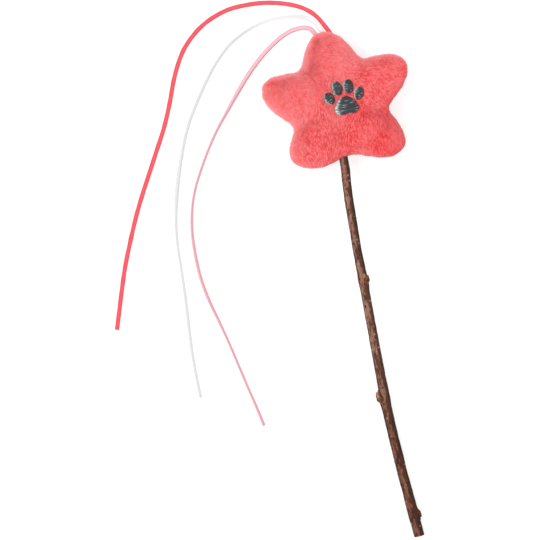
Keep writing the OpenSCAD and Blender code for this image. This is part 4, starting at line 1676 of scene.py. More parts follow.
@dataclass
class Paw:
    """Embroidered paw in raised satin stitch: an underlay under threads that run across each pad."""

    form: StarForm
    finish: ThreadFinish
    sizes: PawSizes = field(default_factory=PawSizes)

    def _middle(self, pad: Pad) -> Array:
        """Returns the middle of a pad, x and y from the star's middle."""
        return (np.array(self.sizes.middle_share) + pad.middle) * self.sizes.width

    def _outline(self, pad: Pad, count: int) -> Array:
        """Returns count points of a pad's outline about its own middle, before its tilt."""
        ring = circle(count)
        return ring * pad.half * pad.swell(ring)[:, None] * self.sizes.width

    def _on_star(self, pad: Pad, local: Array) -> Array:
        """Turns places about a pad's middle by its tilt and puts them on the star, x and y from its middle."""
        return self._middle(pad) + turned(local, pad.tilt)

    def share_on(self, pad: Pad, places: Array) -> Array:
        """Returns how far out on a pad places lie: 0 in its middle, 1 on its outline and more outside it."""
        local = turned(places - self._middle(pad), -pad.tilt) / pad.half
        return np.linalg.norm(local, axis=-1) / (self.sizes.width * pad.swell(local))

    def nearest_share(self, places: Array) -> Array:
        """Returns the least share_on of all pads at places, x and y from the star's middle."""
        return np.min([self.share_on(pad, places) for pad in self.sizes.pads], axis=0)

    def _lift(self, share: Array) -> Array:
        """Returns the stitching's height over the cloth by the share of the way out, along the dome."""
        return np.interp(share, *np.array(self.sizes.dome).T) * self.sizes.stitch_height

    def _rows(self, pad: Pad, draw: np.random.Generator) -> Array:
        """Start and end of each thread across a pad, where lines across it cross its outline.

        Args:
            pad: the pad.
            draw: source of the small differences from thread to thread.

        Returns:
            Threads x 2 x 2: two places about the pad's middle.
        """
        s = self.sizes
        outline = self._outline(pad, s.outline_points)
        following = np.roll(outline, -1, 0)
        rows = []
        for level in np.arange(outline[:, 1].min() + 0.5 * s.pitch, outline[:, 1].max(), s.pitch):
            over = (outline[:, 1] > level) != (following[:, 1] > level)
            share = (level - outline[over, 1]) / (following[over, 1] - outline[over, 1])
            crossings = np.sort(outline[over, 0] + share * (following[over, 0] - outline[over, 0]))
            for start, end in zip(crossings[::2], crossings[1::2]):
                slack = draw.uniform(*s.slack_span, 2) * s.overhang
                drift = draw.normal(0.0, s.drift, 2) * s.pitch
                rows.append(((start - slack[0], level + drift[0]), (end + slack[1], level + drift[1])))
        return np.array(rows)

    def _paths(self, pad: Pad, rows: Array, draw: np.random.Generator) -> Array:
        """Middle lines of a pad's threads: each runs straight across, over the dome, and dives in at both ends.

        Args:
            pad: the pad.
            rows: the threads' ends.
            draw: source of the small differences.

        Returns:
            Threads x points x 3, from the star's middle.
        """
        s = self.sizes
        ease = 0.5 - 0.5 * np.cos(np.linspace(0.0, math.pi, s.thread_steps))
        places = self._on_star(pad, rows[:, :1] + (rows[:, 1:] - rows[:, :1]) * ease[:, None])
        ground = self.form.front_height(places) + s.cloth_gap
        arch = np.minimum(1.0, s.arch_rise * ease * (1.0 - ease)) ** 0.5
        lift = self._lift(np.minimum(self.share_on(pad, places), 1.0))
        height = ground + lift * (s.low_share + (1.0 - s.low_share) * arch)
        height = height + draw.normal(0.0, s.unevenness, (len(rows), 1))
        height[:, [0, -1]] = ground[:, [0, -1]] - s.dive
        paths = raised(places, height)
        for end, second, third in ((0, 1, 2), (-1, -2, -3)):
            outwards = paths[:, second, :2] - paths[:, third, :2]
            paths[:, end, :2] = paths[:, second, :2] + outwards * s.dive_lean
        return paths

    def _threads(self, pad: Pad, seed: int) -> Surface:
        """Threads of a pad, each of its own tone, with a painted glint of light where it turns down and now and
        then a painted spark.

        Args:
            pad: the pad.
            seed: seed of the small differences.

        Returns:
            The closed tubes of all its threads.
        """
        s = self.sizes
        draw = np.random.default_rng(seed)
        rows = self._rows(pad, draw)
        count = len(rows)
        paths = self._paths(pad, rows, draw)
        way = raised(turned(unit(rows[:, 1] - rows[:, 0]), pad.tilt), 0.0)
        radii = np.full(paths.shape[:2], s.thread_radius) * draw.uniform(*s.thread_spread, (count, 1))
        surface = tubes(paths + self.form.middle, radii, np.cross(UP, way)[:, None], s.thread_sides)
        in_thread = len(surface.points) // count
        spans = ((0.0, 1.0), s.glint_at, s.glint_span, s.spark_at)
        tone, glint_at, shine, spark_at = (np.repeat(draw.uniform(*span, count), in_thread) for span in spans)
        along = surface.values["along"]
        painted_glint = bell(along - glint_at, s.glint_reach) * shine
        painted_spark = s.spark_tone * bell(along - spark_at, s.spark_reach) * (shine > s.spark_above)
        surface.values |= {"tone": tone, "shine": np.clip(painted_glint + painted_spark, 0.0, 1.0)}
        return surface

    def _underlay(self, pad: Pad) -> Surface:
        """Dark underlay of a pad, a dome of rings just under its threads, closed beneath.

        Args:
            pad: the pad.

        Returns:
            The closed surface.
        """
        s = self.sizes
        shares, drops = np.array(s.underlay).T
        places = self._on_star(pad, self._outline(pad, s.underlay_sides) * shares[:, None, None])
        lift = np.where(drops < s.stitch_height, self._lift(shares), 0.0)
        height = self.form.front_height(places) + s.cloth_gap + lift[:, None] - drops[:, None]
        rings = raised(places, height) + self.form.middle
        surface = skin(rings, rings[0].mean(0), rings[-1].mean(0))
        surface.values["tone"] = np.zeros(len(surface.points))
        return surface

    def build(self) -> Piece:
        """Joins the pads' underlay and threads into one piece that stands for the motif's node.

        Returns:
            The paw.
        """
        pads = self.sizes.pads
        surfaces = [self._underlay(pad) for pad in pads]
        surfaces += [self._threads(pad, Seed.THREADS + k) for k, pad in enumerate(pads)]
        paw = place_piece("satin_paw", Surface.joined(surfaces), Slot.STITCHING, self.finish.material())
        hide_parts("embroidered_motif")
        return paw


@dataclass
class CoverSizes:
    """Sizes of the cloth cover under its pile, of its padding by simulated pressure and of its sewing."""

    inset: float = 0.0006
    cloth: float = 0.0005
    voxel: float = 0.002
    swell_scale: float = 10.0
    pressure: float = 40.0
    slack: float = -0.06
    quality: int = 6
    frames: int = 20
    cap: float = 0.004
    swell_rounds: int = 36
    crease_rounds: int = 5
    crease_cap: float = 0.0004
    even_rounds: int = 2
    seam_band: float = 0.0012
    bearings: int = 200
    rings: int = 26
    notch_hollow: float = 0.0008
    hollow_breadth: float = 0.0042
    hollow_growth: float = 0.12
    hollow_at: float = 0.006
    hollow_reach: float = 0.0075
    hollow_height: float = 0.009
    crease_depth: float = 0.0007
    crease_width: float = 0.0022
    crease_ends: tuple[Span, Span] = ((0.0133, -0.0155), (0.0208, -0.0314))
    groove: float = 0.0007
    groove_width: float = 0.0012
    pucker: float = 0.00015
    pucker_size: float = 0.0075
    pucker_height: float = 0.004
    pucker_width: float = 0.0035
    twig_pinch: float = 0.0008
    twig_pinch_reach: float = 0.0075
    belly_floor: float = 0.0006


@dataclass
class PlushCover:
    """The star's plush cover: a padded shell with a sewn seam, on which the pile stands."""

    form: StarForm
    twig: Twig
    finish: PlushFinish
    sizes: CoverSizes = field(default_factory=CoverSizes)

    def _blank(self) -> Surface:
        """Cover before it is filled: both crowns over rings that lie closer together near the seam.

        Returns:
            Its closed surface, from the star's middle.
        """
        s = self.sizes
        bearings = np.arange(s.bearings) / s.bearings * FULL_TURN
        flat = headings(bearings) * (self.form.reach_at(bearings) - s.inset)[:, None]
        out = np.sin(np.arange(1, s.rings + 1) / s.rings * math.pi / 2.0)[:, None]
        low, high = s.inset - self.form.back_crown, self.form.front_crown - s.inset
        rings = [
            raised(flat * shares[..., None], top * self.form.crown_share(shares, bearings))
            for top, shares in ((low, out), (high, out[-2::-1]))
        ]
        return skin(np.concatenate(rings), UP * low, UP * high)

    def _filled(self, even: Surface) -> Array:
        """Presses the cover out with simulated stuffing and keeps the creases that this brings.

        The seam is held and the cloth is cut a little slack. A point's travel is capped through the hyperbolic
        tangent, its smooth mean over the neighbourhood is taken off, and what is left is capped again.

        Args:
            even: even squares over the cover, enlarged for the cloth solver.

        Returns:
            The points after, at their own size.
        """
        s = self.sizes
        still, quads = even.points, even.quads
        blank = new_object("cover_blank", even.mesh("cover_blank"))
        seam = blank.vertex_groups.new(name="seam")
        held = np.flatnonzero(np.abs(still[:, 2]) < s.seam_band * s.swell_scale)
        seam.add(held.tolist(), 1.0, "REPLACE")
        cloth = blank.modifiers.new("stuffed", "CLOTH").settings
        cloth.vertex_group_mass = seam.name
        cloth.use_pressure = True
        cloth.uniform_pressure_force = s.pressure
        cloth.effector_weights.gravity = 0.0
        cloth.shrink_min = s.slack
        cloth.quality = s.quality
        for step in range(1, s.frames + 1):
            bpy.context.scene.frame_set(step)
        filled, _ = taken(applied(blank))
        bpy.data.objects.remove(blank)
        bpy.context.scene.frame_set(1)
        travel = capped((filled - still) / s.swell_scale, s.cap)
        creases = relaxed(travel, quads, s.crease_rounds) - relaxed(travel, quads, s.swell_rounds)
        return still / s.swell_scale + capped(creases, s.crease_cap)

    def hollows(self, points: Array) -> Array:
        """Depth of the sewn cover's hollows.

        A hollow lies over and under each notch, broad at first and narrower towards the middle, and a shallow
        crease runs from the stitching towards the lower right notch.

        Args:
            points: places from the star's middle.

        Returns:
            The depth at each.
        """
        s, form = self.sizes, self.form
        flat = points[:, :2]
        depth = np.zeros(len(points))
        for turn, share in zip(form.notch_angles, form.notch_shares):
            inside = form.reach * share - flat @ headings(turn)
            breadth = s.hollow_breadth + s.hollow_growth * np.abs(inside)
            reach = bell(inside - s.hollow_at, s.hollow_reach)
            depth += s.notch_hollow * bell(flat @ headings(turn + 90.0), breadth) * reach
        start, end = np.array(s.crease_ends)
        share = np.clip((flat - start) @ (end - start) / ((end - start) ** 2).sum(), 0.0, 1.0)
        away = np.linalg.norm(flat - start - share[:, None] * (end - start), axis=1)
        depth += s.crease_depth * bell(away, s.crease_width) * (points[:, 2] > 0.0)
        return depth * smooth_step(np.abs(points[:, 2]), 0.0, s.hollow_height)

    def _dressed(self, points: Array, normals: Array) -> Array:
        """Moves the cover towards the seam's level by its hollows, and in along its normals by its sewing.

        A groove follows the seam with small puckers across it, and the cloth is drawn in round the twig. The
        back is held above the surface that the star rests on.

        Args:
            points: places from the star's middle.
            normals: outward normals there.

        Returns:
            The moved places.
        """
        s, form = self.sizes, self.form
        depth = s.groove * bell(points[:, 2], s.groove_width)
        bearings = np.arctan2(points[:, 1], points[:, 0])
        puckers = wave_noise(bearings[:, None] * form.reach, s.pucker_size, Seed.PUCKERS, 18)
        depth += s.pucker * puckers * bell(np.abs(points[:, 2]) - s.pucker_height, s.pucker_width)
        from_twig = np.linalg.norm(points - self.twig.entry_place(), axis=1)
        depth += s.twig_pinch * bell(from_twig, s.twig_pinch_reach)
        moved = points - normals * depth[:, None]
        moved[:, 2] -= self.hollows(points) * np.sign(points[:, 2])
        moved[:, 2] = np.maximum(moved[:, 2], s.belly_floor - form.seam_height)
        return moved

    def build(self) -> tuple[Piece, Surface, Array]:
        """Makes the cover and its inner face, and dresses it.

        Returns:
            The cover, its outer face from the star's middle, and the normals of that face.
        """
        scale = self.sizes.swell_scale
        blank = self._blank()
        blank.points = blank.points * scale
        even = Surface(*squared(blank.mesh("cover_blank"), self.sizes.voxel * scale))
        places = self._filled(even)
        places = relaxed(places, even.quads, self.sizes.even_rounds)
        outer = subdivided(self._dressed(places, face_normals(places, even.quads)), even.quads)
        normals = face_normals(outer.points, outer.quads)
        inner = outer.points - normals * self.sizes.cloth
        both = Surface(
            np.concatenate([outer.points, inner]) + self.form.middle,
            np.concatenate([outer.quads, outer.quads[:, ::-1] + len(inner)]),
        )
        cover = place_piece("plush_cover", both, Slot.PLUSH, self.finish.cloth())
        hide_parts("star_front_panel", "star_back_panel")
        return cover, outer, normals


class Face(Enum):
    """The two faces of the star, by the sign of their height over the seam."""

    FRONT = 1
    BACK = -1


@dataclass
class NapSizes:
    """How the pile is combed: its turn at the star's foot and how much further it turns at its head, how it
    sways, and where it gives way to the rim."""

    foot_turn: float = -92.0
    head_turn: float = 78.0
    head_slant: float = 0.25
    head_span: Span = (-0.014, 0.03)
    slow_sway: Span = (11.0, 0.021)
    quick_sway: Span = (6.0, 0.006)
    rim_band: float = 0.009
    aside_span: Span = (0.05, 0.45)
    downwards: Span = (0.5, -0.866)
    sense_gain: float = 4.0
    least_slope: float = 0.05
    parted_band: float = 0.014
    parted_span: Span = (0.05, 0.9)


@dataclass
class PileSizes:
    """Sizes of the plush pile. Shares of a strand's length are kept at the belly and beside the stitching."""

    length: float = 0.0019
    length_span: Span = (0.8, 1.12)
    width: float = 0.00027
    bar_at: float = 0.6
    bar_drop: float = 0.12
    lean: float = 68.0
    rim_lean: float = 46.0
    parted_lean: float = 16.0
    lean_scatter: float = 8.0
    rim_roll: float = 1.0
    roll_band: float = 0.009
    roll_span: Span = (-0.006, 0.003)
    scatter: float = 0.11
    rim_scatter: float = 0.34
    per_area: float = 16.5e6
    seam_cut: float = 0.3
    seam_cut_width: float = 0.0012
    belly_share: float = 0.45
    belly_span: Span = (0.0008, 0.0035)
    paw_share: float = 0.4
    paw_span: Span = (1.0, 1.35)
    paw_bare: float = 1.03
    twig_bare: float = 0.012
    tuft: float = 0.00086
    tuft_stretch: float = 2.8
    tuft_pull: float = 0.6
    tuft_pull_span: Span = (0.5, 1.3)
    tuft_tone: float = 0.72
    seam_pull_cut: float = 0.8
    seam_pull_width: float = 0.007
    tuft_table: int = 4096
    tuft_paces: tuple[int, int, int] = (73, 1009, 3571)
    strands_in_piece: int = 46000
    root_depth: float = 0.0003
    clearance: float = 0.0001
    map_width: float = 0.12


@dataclass
class Pile:
    """Short pile that stands on the cover in small tufts, combed along the nap."""

    form: StarForm
    twig: Twig
    paw: Paw
    finish: PlushFinish
    ground: Surface
    normals: Array
    sizes: PileSizes = field(default_factory=PileSizes)
    nap: NapSizes = field(default_factory=NapSizes)

    def _roots(self, draw: np.random.Generator) -> tuple[Array, Array]:
        """Roots spread evenly over the cover: each falls in a triangle picked by area, at a random place in it.

        Args:
            draw: source of the places.

        Returns:
            The roots from the star's middle, and the normals there.
        """
        quads = self.ground.quads
        corners = np.concatenate([quads[:, [0, 1, 2]], quads[:, [0, 2, 3]]])
        a, b, c = (self.ground.points[corners[:, k]] for k in range(3))
        area = np.linalg.norm(np.cross(b - a, c - a), axis=1) / 2.0
        count = int(area.sum() * self.sizes.per_area)
        picked = np.searchsorted(np.cumsum(area) / area.sum(), draw.random(count))
        chosen = corners[np.minimum(picked, len(corners) - 1)]
        u, v = draw.random((2, count))
        flip = u + v > 1.0
        u, v = np.where(flip, 1.0 - u, u), np.where(flip, 1.0 - v, v)
        weights = np.stack([1.0 - u - v, u, v], -1)[..., None]
        return (self.ground.points[chosen] * weights).sum(1), unit((self.normals[chosen] * weights).sum(1))

    def _kept(self, roots: Array) -> Array:
        """Finds the roots that are clear of the stitching and of the twig.

        Args:
            roots: the roots.

        Returns:
            Whether each is clear.
        """
        s = self.sizes
        stitched = (self.paw.nearest_share(roots[:, :2]) < s.paw_bare) & (roots[:, 2] > 0.0)
        off = roots - self.twig.entry_place()
        beside = np.hypot(off[:, 0], off[:, 2]) < self.twig.sizes.thin_d / 2.0
        return ~(stitched | (beside & (np.abs(off[:, 1]) < s.twig_bare)))

    def _combed(self, roots: Array, normals: Array) -> tuple[Array, Array]:
        """Way in which the pile is combed, along the cloth.

        It runs down the star at its foot and turns through a smooth step towards the right at its head, and
        sways by slow noise. Where it goes out over the rim it runs towards the seam. Where it would come in
        over the rim it turns to run along the outline instead, so that it covers the seam there too, and stands
        up where it parts to both sides.

        Args:
            roots: the roots.
            normals: the cloth's normals there.

        Returns:
            Unit vectors square to the normals, and how far in degrees the pile leans along them.
        """
        s, n = self.sizes, self.nap
        turn = n.foot_turn + n.head_turn * smooth_step(roots[:, 1] + n.head_slant * roots[:, 0], *n.head_span)
        for (sway, size), seed in ((n.slow_sway, Seed.SLOW_SWAY), (n.quick_sway, Seed.QUICK_SWAY)):
            turn = turn + sway * wave_noise(roots, size, seed)
        combed = raised(headings(turn), 0.0)
        inwards = -(combed * normals).sum(1)
        rim = inwards * bell(roots[:, 2], n.rim_band)
        outline = np.cross(UP, normals)
        slope = np.maximum(np.linalg.norm(outline, axis=1), n.least_slope)
        sense = np.clip(n.sense_gain * (outline[:, :2] @ n.downwards) / slope, -1.0, 1.0)
        aside = (smooth_step(rim, *n.aside_span) * np.abs(sense))[:, None]
        over = UP * (np.minimum(rim, 0.0) * np.sign(roots[:, 2]))[:, None]
        way = combed * (1.0 - aside) + unit(outline) * np.sign(sense)[:, None] * aside + over
        parted = smooth_step(inwards * bell(roots[:, 2], n.parted_band), *n.parted_span) * (1.0 - np.abs(sense))
        lean = s.lean + (s.rim_lean - s.lean) * np.clip(rim, 0.0, 1.0)
        lean = lean + (s.parted_lean - lean) * parted
        return unit(way - (way * normals).sum(1, keepdims=True) * normals), lean

    def _tufts(self, roots: Array, nap: Array) -> tuple[Array, Array]:
        """Finds each strand's tuft. A tuft has a middle at a random place in each cell of a grid, and a strand
        joins the nearest middle among the cells about its own, where a distance along the nap counts for less.

        Args:
            roots: the roots.
            nap: the way of the pile there.

        Returns:
            How far each root lies beside its tuft's middle line, as vectors, and the tuft's tone.
        """
        s = self.sizes
        table = np.random.default_rng(Seed.TUFTS).random((s.tuft_table, 4))
        home = np.floor(roots / s.tuft).astype(int)
        nearest = np.full(len(roots), np.inf)
        beside, tone = np.zeros_like(roots), np.zeros(len(roots))
        for step in np.ndindex(3, 3, 3):
            cell = home + np.array(step) - 1
            values = table[(cell @ s.tuft_paces) % s.tuft_table]
            offset = roots - (cell + values[:, :3]) * s.tuft
            along = (offset * nap).sum(1, keepdims=True)
            across = offset - along * nap
            distance = np.hypot(np.linalg.norm(across, axis=1), along[:, 0] / s.tuft_stretch)
            closer = distance < nearest
            nearest[closer], beside[closer], tone[closer] = distance[closer], across[closer], values[closer, 3]
        return beside, tone

    def _lengths(self, roots: Array, draw: np.random.Generator) -> Array:
        """Length of each strand, less at the seam, at the belly and beside the stitching.

        Args:
            roots: the roots.
            draw: source of the differences from strand to strand.

        Returns:
            The lengths.
        """
        s = self.sizes
        cut = 1.0 - s.seam_cut * bell(roots[:, 2], s.seam_cut_width)
        length = s.length * draw.uniform(*s.length_span, len(roots)) * cut
        belly = smooth_step(roots[:, 2] + self.form.seam_height, *s.belly_span)
        by_paw = smooth_step(self.paw.nearest_share(roots[:, :2]), *s.paw_span)
        by_paw = np.where(roots[:, 2] > 0.0, by_paw, 1.0)
        length = length * (s.belly_share + (1.0 - s.belly_share) * belly)
        return length * (s.paw_share + (1.0 - s.paw_share) * by_paw)

    def _strands(self, roots: Array, tips: Array, normals: Array, tone: Array) -> Surface:
        """Closed leaf-shaped strands of four faces: a ridge from root to tip over a short crossbar below it.

        Args:
            roots: foot of each strand, from the star's middle. Near the seam a strand is rolled to face up too.
            tips: its point.
            normals: the cloth's normals at the roots.
            tone: the strand's own tone.

        Returns:
            The surface of all strands, with the values along and tone and the cloth's normal as lie.
        """
        s = self.sizes
        roll = s.rim_roll * bell(roots[:, 2], s.roll_band) * smooth_step(roots[:, 2], *s.roll_span)
        way = tips - roots
        side = unit(np.cross(way, normals + UP * roll[:, None])) * s.width / 2.0
        bar = roots + s.bar_at * way - s.bar_drop * s.width * unit(np.cross(side, way))
        points = np.stack([roots, bar - side, bar + side, tips], 1).reshape(-1, 3) + self.form.middle
        start = np.arange(len(roots))[:, None, None] * 4
        faces = np.array([[0, 3, 1], [0, 2, 3], [0, 1, 2], [3, 2, 1]])
        values = {
            "along": np.tile([0.0, s.bar_at, s.bar_at, 1.0], len(roots)),
            "tone": np.repeat(tone, 4),
            "lie": np.repeat(normals, 4, axis=0),
        }
        return Surface(points, triangles=(faces + start).reshape(-1, 3), values=values)

    def _bake_map(self, mesh: Mesh, surface: Surface, face: Face) -> None:
        """Lays a flat map under the strands, by place: each face of the star takes one half of the square.

        Args:
            mesh: the strands' mesh.
            surface: the strands.
            face: the face of the star that they stand on.
        """
        flat = (surface.points - self.form.middle)[:, :2] / self.sizes.map_width + 0.5
        flat = flat * [0.5, 1.0] + [0.0 if face is Face.FRONT else 0.5, 0.0]
        layer = mesh.uv_layers.new(name=BAKE_MAP)
        layer.data.foreach_set("uv", flat[surface.corners()].astype(np.float32).ravel())

    def build(self) -> list[Piece]:
        """Grows the pile and splits it, from left to right on each face, into pieces of a workable size.

        Returns:
            The pieces.
        """
        s = self.sizes
        draw = np.random.default_rng(Seed.PILE)
        roots, normals = self._roots(draw)
        kept = self._kept(roots)
        roots, normals = roots[kept], normals[kept]
        nap, lean = self._combed(roots, normals)
        count = len(roots)
        beside, tuft_tone = self._tufts(roots, nap)
        spread = s.scatter + s.rim_scatter * (1.0 - lean / s.lean)
        scatter = draw.normal(0.0, 1.0, (count, 3)) * spread[:, None]
        lean = np.radians(lean + s.lean_scatter * draw.normal(size=count))[:, None]
        way = unit(normals * np.cos(lean) + nap * np.sin(lean) + scatter)
        length = self._lengths(roots, draw)
        loose = 1.0 - s.seam_pull_cut * bell(roots[:, 2], s.seam_pull_width)
        pull = s.tuft_pull * draw.uniform(*s.tuft_pull_span, count) * loose
        tips = roots + way * length[:, None] - beside * pull[:, None]
        roots = roots - normals * s.root_depth
        for ends in (roots, tips):
            ends[:, 2] = np.maximum(ends[:, 2], s.clearance - self.form.seam_height)
        tone = s.tuft_tone * tuft_tone + (1.0 - s.tuft_tone) * draw.random(count)
        material = self.finish.pile()
        pieces = []
        for face in Face:
            on_face = np.flatnonzero(roots[:, 2] * face.value >= (0.0 if face is Face.FRONT else LEAST))
            ordered = on_face[np.argsort(roots[on_face, 0], kind="stable")]
            parts = math.ceil(len(ordered) / s.strands_in_piece)
            for number, chosen in enumerate(np.array_split(ordered, parts), 1):
                strands = self._strands(roots[chosen], tips[chosen], normals[chosen], tone[chosen])
                name = f"pile_{face.name.lower()}_{number}"
                pieces.append(place_piece(name, strands, Slot.PLUSH, material, smooth=False))
                self._bake_map(pieces[-1].data, strands, face)
        return pieces


@dataclass
class SeamStitches:
    """Small stitches that close the seam, each a bowed thread across the groove."""

    form: StarForm
    finish: ThreadFinish
    pitch_turn: float = 2.9
    slant_turn: float = 0.45
    reach: float = 0.0012
    radius: float = 0.00019
    depth: float = 0.0022
    bow: float = 0.0005
    tone: float = 0.4
    steps: int = 9
    sides: int = 6

    def build(self) -> Piece:
        """Lays a stitch across the seam at each step round the outline.

        Returns:
            The stitches.
        """
        rise = np.linspace(-1.0, 1.0, self.steps)
        turn = np.arange(0.0, FULL_TURN, self.pitch_turn)[:, None] + self.slant_turn * rise
        reach = self.form.reach_at(turn) - self.depth + self.bow * np.cos(rise * math.pi / 2.0)
        paths = raised(headings(turn) * reach[..., None], rise * self.reach) + self.form.middle
        side = raised(headings(turn + 90.0), 0.0)
        surface = tubes(paths, np.full(turn.shape, self.radius), side, self.sides)
        surface.values["tone"] = np.full(len(surface.points), self.tone)
        return place_piece("seam_stitches", surface, Slot.PLUSH, self.finish.material())


@dataclass
class Stuffing:
    """The star's inside: a lumpy fibre mass for the filling, and finishes for the glue and the backing."""

    voxel: float = 0.0014
    weld_reach: float = 0.00001
    lump: float = 0.0003
    lump_size: float = 0.007
    lump_middle: float = 1.2
    lump_spread: float = 0.8
    fibre: InnerFinish = InnerFinish("loose_fibre", (0.86, 0.86, 0.84), (0.66, 0.66, 0.63), 900.0, 0.001, 0.95)
    glue: InnerFinish = InnerFinish("set_glue", (0.84, 0.78, 0.6), (0.74, 0.66, 0.45), 300.0, 0.0006, 0.3, 0.3)
    backing: InnerFinish = InnerFinish("stiff_backing", (0.8, 0.8, 0.8), (0.6, 0.6, 0.6), 1800.0, 0.0003, 0.9)

    def build(self) -> Piece:
        """Copies the filling's solid, squares its faces evenly and drives lumps into it, never out of it.

        Returns:
            The fibre mass.
        """
        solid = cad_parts["star_filling"].data.copy()
        points, quads = squared(solid, self.voxel, self.weld_reach)
        normals = face_normals(points, quads)
        lumps = self.lump_middle + wave_noise(points, self.lump_size, Seed.LUMPS) * self.lump_spread
        surface = Surface(points - normals * np.maximum(self.lump * lumps, 0.0)[:, None], quads)
        mass = place_piece("fibre_stuffing", surface, Slot.STUFFING, self.fibre.material())
        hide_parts("star_filling")
        return mass

    def dress_nodes(self) -> None:
        """Gives the glue and the stiff backing, which keep their own shape, their finish."""
        for name, finish in {"glue_plug": self.glue, "embroidery_backing": self.backing}.items():
            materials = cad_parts[name].data.materials
            materials.clear()
            materials.append(finish.material())


@dataclass(frozen=True)
class Lamp:
    """A square lamp: its name, its place, the length of its side and its power."""

    name: str
    place: Place
    side: float
    power: float

    def hang(self, aim: Place) -> None:
        """Hangs the lamp at its place, turned to aim.

        Args:
            aim: the place that it faces.
        """
        data = bpy.data.lights.new(self.name, "AREA")
        data.shape, data.size, data.energy = "SQUARE", self.side, self.power
        lamp = new_object(self.name, data)
        lamp.location = self.place
        lamp.rotation_euler = (Vector(aim) - Vector(self.place)).to_track_quat("-Z", "Y").to_euler()


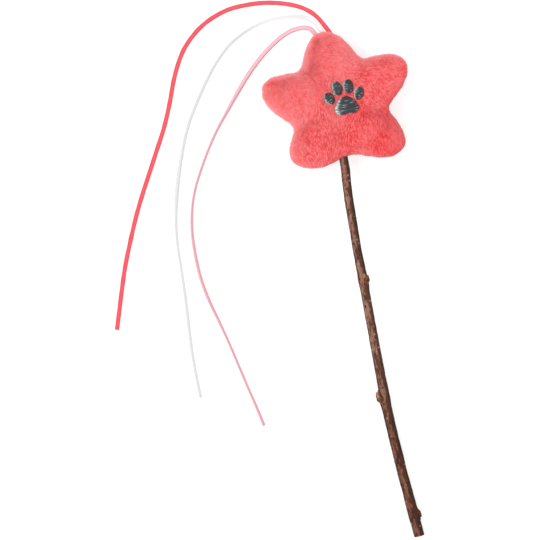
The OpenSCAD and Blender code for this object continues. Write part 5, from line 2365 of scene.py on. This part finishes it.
@dataclass
class Studio:
    """Pale floor, a large soft lamp to the upper left with a fainter, lower one to the right, and the camera,
    which looks straight down with the wand leaning to the left."""

    aim: Place = (-0.0704, 0.0238, 0.010)
    view_width: float = 0.378
    picture_top: Span = (0.1982, 0.9802)
    lens: float = 300.0
    sensor: float = 36.0
    clip: Span = (0.1, 100.0)
    floor_side: float = 60.0
    floor_drop: float = 0.0002
    paper: Colour = (0.8, 0.8, 0.8)
    seen_paper: Colour = (0.38, 0.38, 0.38)
    seen_glow: float = 0.7
    ambient: float = 0.88
    key: Lamp = Lamp("key", (-0.5, 0.28, 1.0), 0.5, 6.1)
    fill: Lamp = Lamp("fill", (0.62, -0.3, 0.5), 0.7, 1.5)

    def camera(self) -> None:
        """Places the camera over the aim, so that view_width fills the picture at the aim's height."""
        data = bpy.data.cameras.new("camera")
        data.lens, data.sensor_width = self.lens, self.sensor
        data.clip_start, data.clip_end = self.clip
        camera = new_object("camera", data)
        distance = self.view_width / 2.0 * self.lens / (self.sensor / 2.0)
        camera.location = Vector(self.aim) + Vector((0.0, 0.0, distance))
        camera.rotation_euler = (0.0, 0.0, -math.atan2(*self.picture_top))
        bpy.context.scene.camera = camera

    def floor(self) -> None:
        """Lays the floor, which the camera sees as white, with the wand's shadow in a fainter tone."""
        half = self.floor_side / 2.0
        corners = np.array([[-half, -half], [half, -half], [half, half], [-half, half]])
        surface = Surface(raised(corners, -self.floor_drop), np.array([[0, 1, 2, 3]]))
        floor = new_object("floor", surface.mesh("floor", smooth=False))
        material, tree = new_material("floor_paper", (0.9, 0.9, 0.9))
        paper = tree.node("ShaderNodeBsdfDiffuse", {"Color": self.paper}).outputs[0]
        faint = tree.node("ShaderNodeBsdfDiffuse", {"Color": self.seen_paper}).outputs[0]
        light = tree.node("ShaderNodeEmission", {"Color": WHITE, "Strength": self.seen_glow}).outputs[0]
        white = tree.node("ShaderNodeAddShader", {0: faint, 1: light}).outputs[0]
        mixed = tree.node("ShaderNodeMixShader", {0: self._seen(tree), 1: paper, 2: white}).outputs[0]
        tree.node("ShaderNodeOutputMaterial", {"Surface": mixed})
        floor.data.materials.append(material)

    @staticmethod
    def _seen(tree: Tree) -> Socket:
        """Picks the rays that see the paper: those from the camera and those that a gloss or glass sends on.

        Args:
            tree: the tree of the floor or the world.

        Returns:
            1 for those rays and 0 for others.
        """
        rays = tree.node("ShaderNodeLightPath").outputs
        reflected = tree.plus(rays["Is Camera Ray"], rays["Is Glossy Ray"])
        return tree.math("ADD", reflected, rays["Is Transmission Ray"], clamp=True)

    def light(self) -> None:
        """Sets a world that is seen as white and shines at its own strength, and hangs the lamps."""
        world = bpy.data.worlds.new("studio")
        bpy.context.scene.world = world
        tree = Tree.of(world)
        lit, seen = (
            tree.node("ShaderNodeBackground", {"Color": WHITE, "Strength": strength}).outputs[0]
            for strength in (self.ambient, 1.0)
        )
        mixed = tree.node("ShaderNodeMixShader", {0: self._seen(tree), 1: lit, 2: seen}).outputs[0]
        tree.node("ShaderNodeOutputWorld", {"Surface": mixed})
        self.key.hang(self.aim)
        self.fill.hang(self.aim)

    def build(self) -> None:
        """Sets up the camera, the floor, the lamps and plain view settings."""
        self.camera()
        self.floor()
        self.light()
        bpy.context.scene.view_settings.view_transform = "Standard"


def make_laces(form: StarForm) -> list[SuedeLace]:
    """Lays out the three laces, each with the bearing at which it leaves the star, its slot and its finish.

    Args:
        form: the star.

    Returns:
        The laces, not built yet.
    """
    coral = SuedeFinish("suede_coral", (0.87, 0.095, 0.12), (0.75, 0.06, 0.08), (0.52, 0.035, 0.052))
    white = SuedeFinish("suede_white", (0.69, 0.69, 0.69), (0.64, 0.64, 0.645), (0.58, 0.58, 0.585), 0.32)
    pink = SuedeFinish("suede_pink", (0.78, 0.46, 0.5), (0.74, 0.37, 0.42), (0.62, 0.28, 0.32))
    return [
        SuedeLace(LaceColour.CORAL, 85.2, Slot.SUEDE_CORAL, coral, form),
        SuedeLace(LaceColour.WHITE, 90.8, Slot.SUEDE_WHITE, white, form),
        SuedeLace(LaceColour.PINK, 96.4, Slot.SUEDE_PINK, pink, form),
    ]


def report(piece: Piece) -> None:
    """Logs a finished piece with its number of faces."""
    LOG.info("%s: %d faces", piece.name, len(piece.data.polygons))


def main() -> None:
    """Builds the studio and the wand, piece by piece, and logs each."""
    logging.basicConfig(level=logging.INFO, format="%(name)s: %(message)s")
    Studio().build()
    form = StarForm()
    for lace in make_laces(form):
        report(lace.build())
    twig = Twig(form, BarkFinish())
    report(twig.build())
    charcoal, silver, painted_glint = (0.008, 0.012, 0.015), (0.04, 0.05, 0.056), (0.78, 0.8, 0.76)
    paw = Paw(form, ThreadFinish("satin_thread", charcoal, silver, painted_glint, 0.32, 9.0))
    report(paw.build())
    plush = PlushFinish()
    cover, outer, normals = PlushCover(form, twig, plush).build()
    report(cover)
    for piece in Pile(form, twig, paw, plush, outer, normals).build():
        report(piece)
    sewing = ThreadFinish("seam_thread", (0.6, 0.05, 0.055), (0.8, 0.1, 0.1), (1.0, 0.3, 0.3), 0.6, 4.0)
    report(SeamStitches(form, sewing).build())
    stuffing = Stuffing()
    report(stuffing.build())
    stuffing.dress_nodes()


if __name__ == "__main__":
    main()
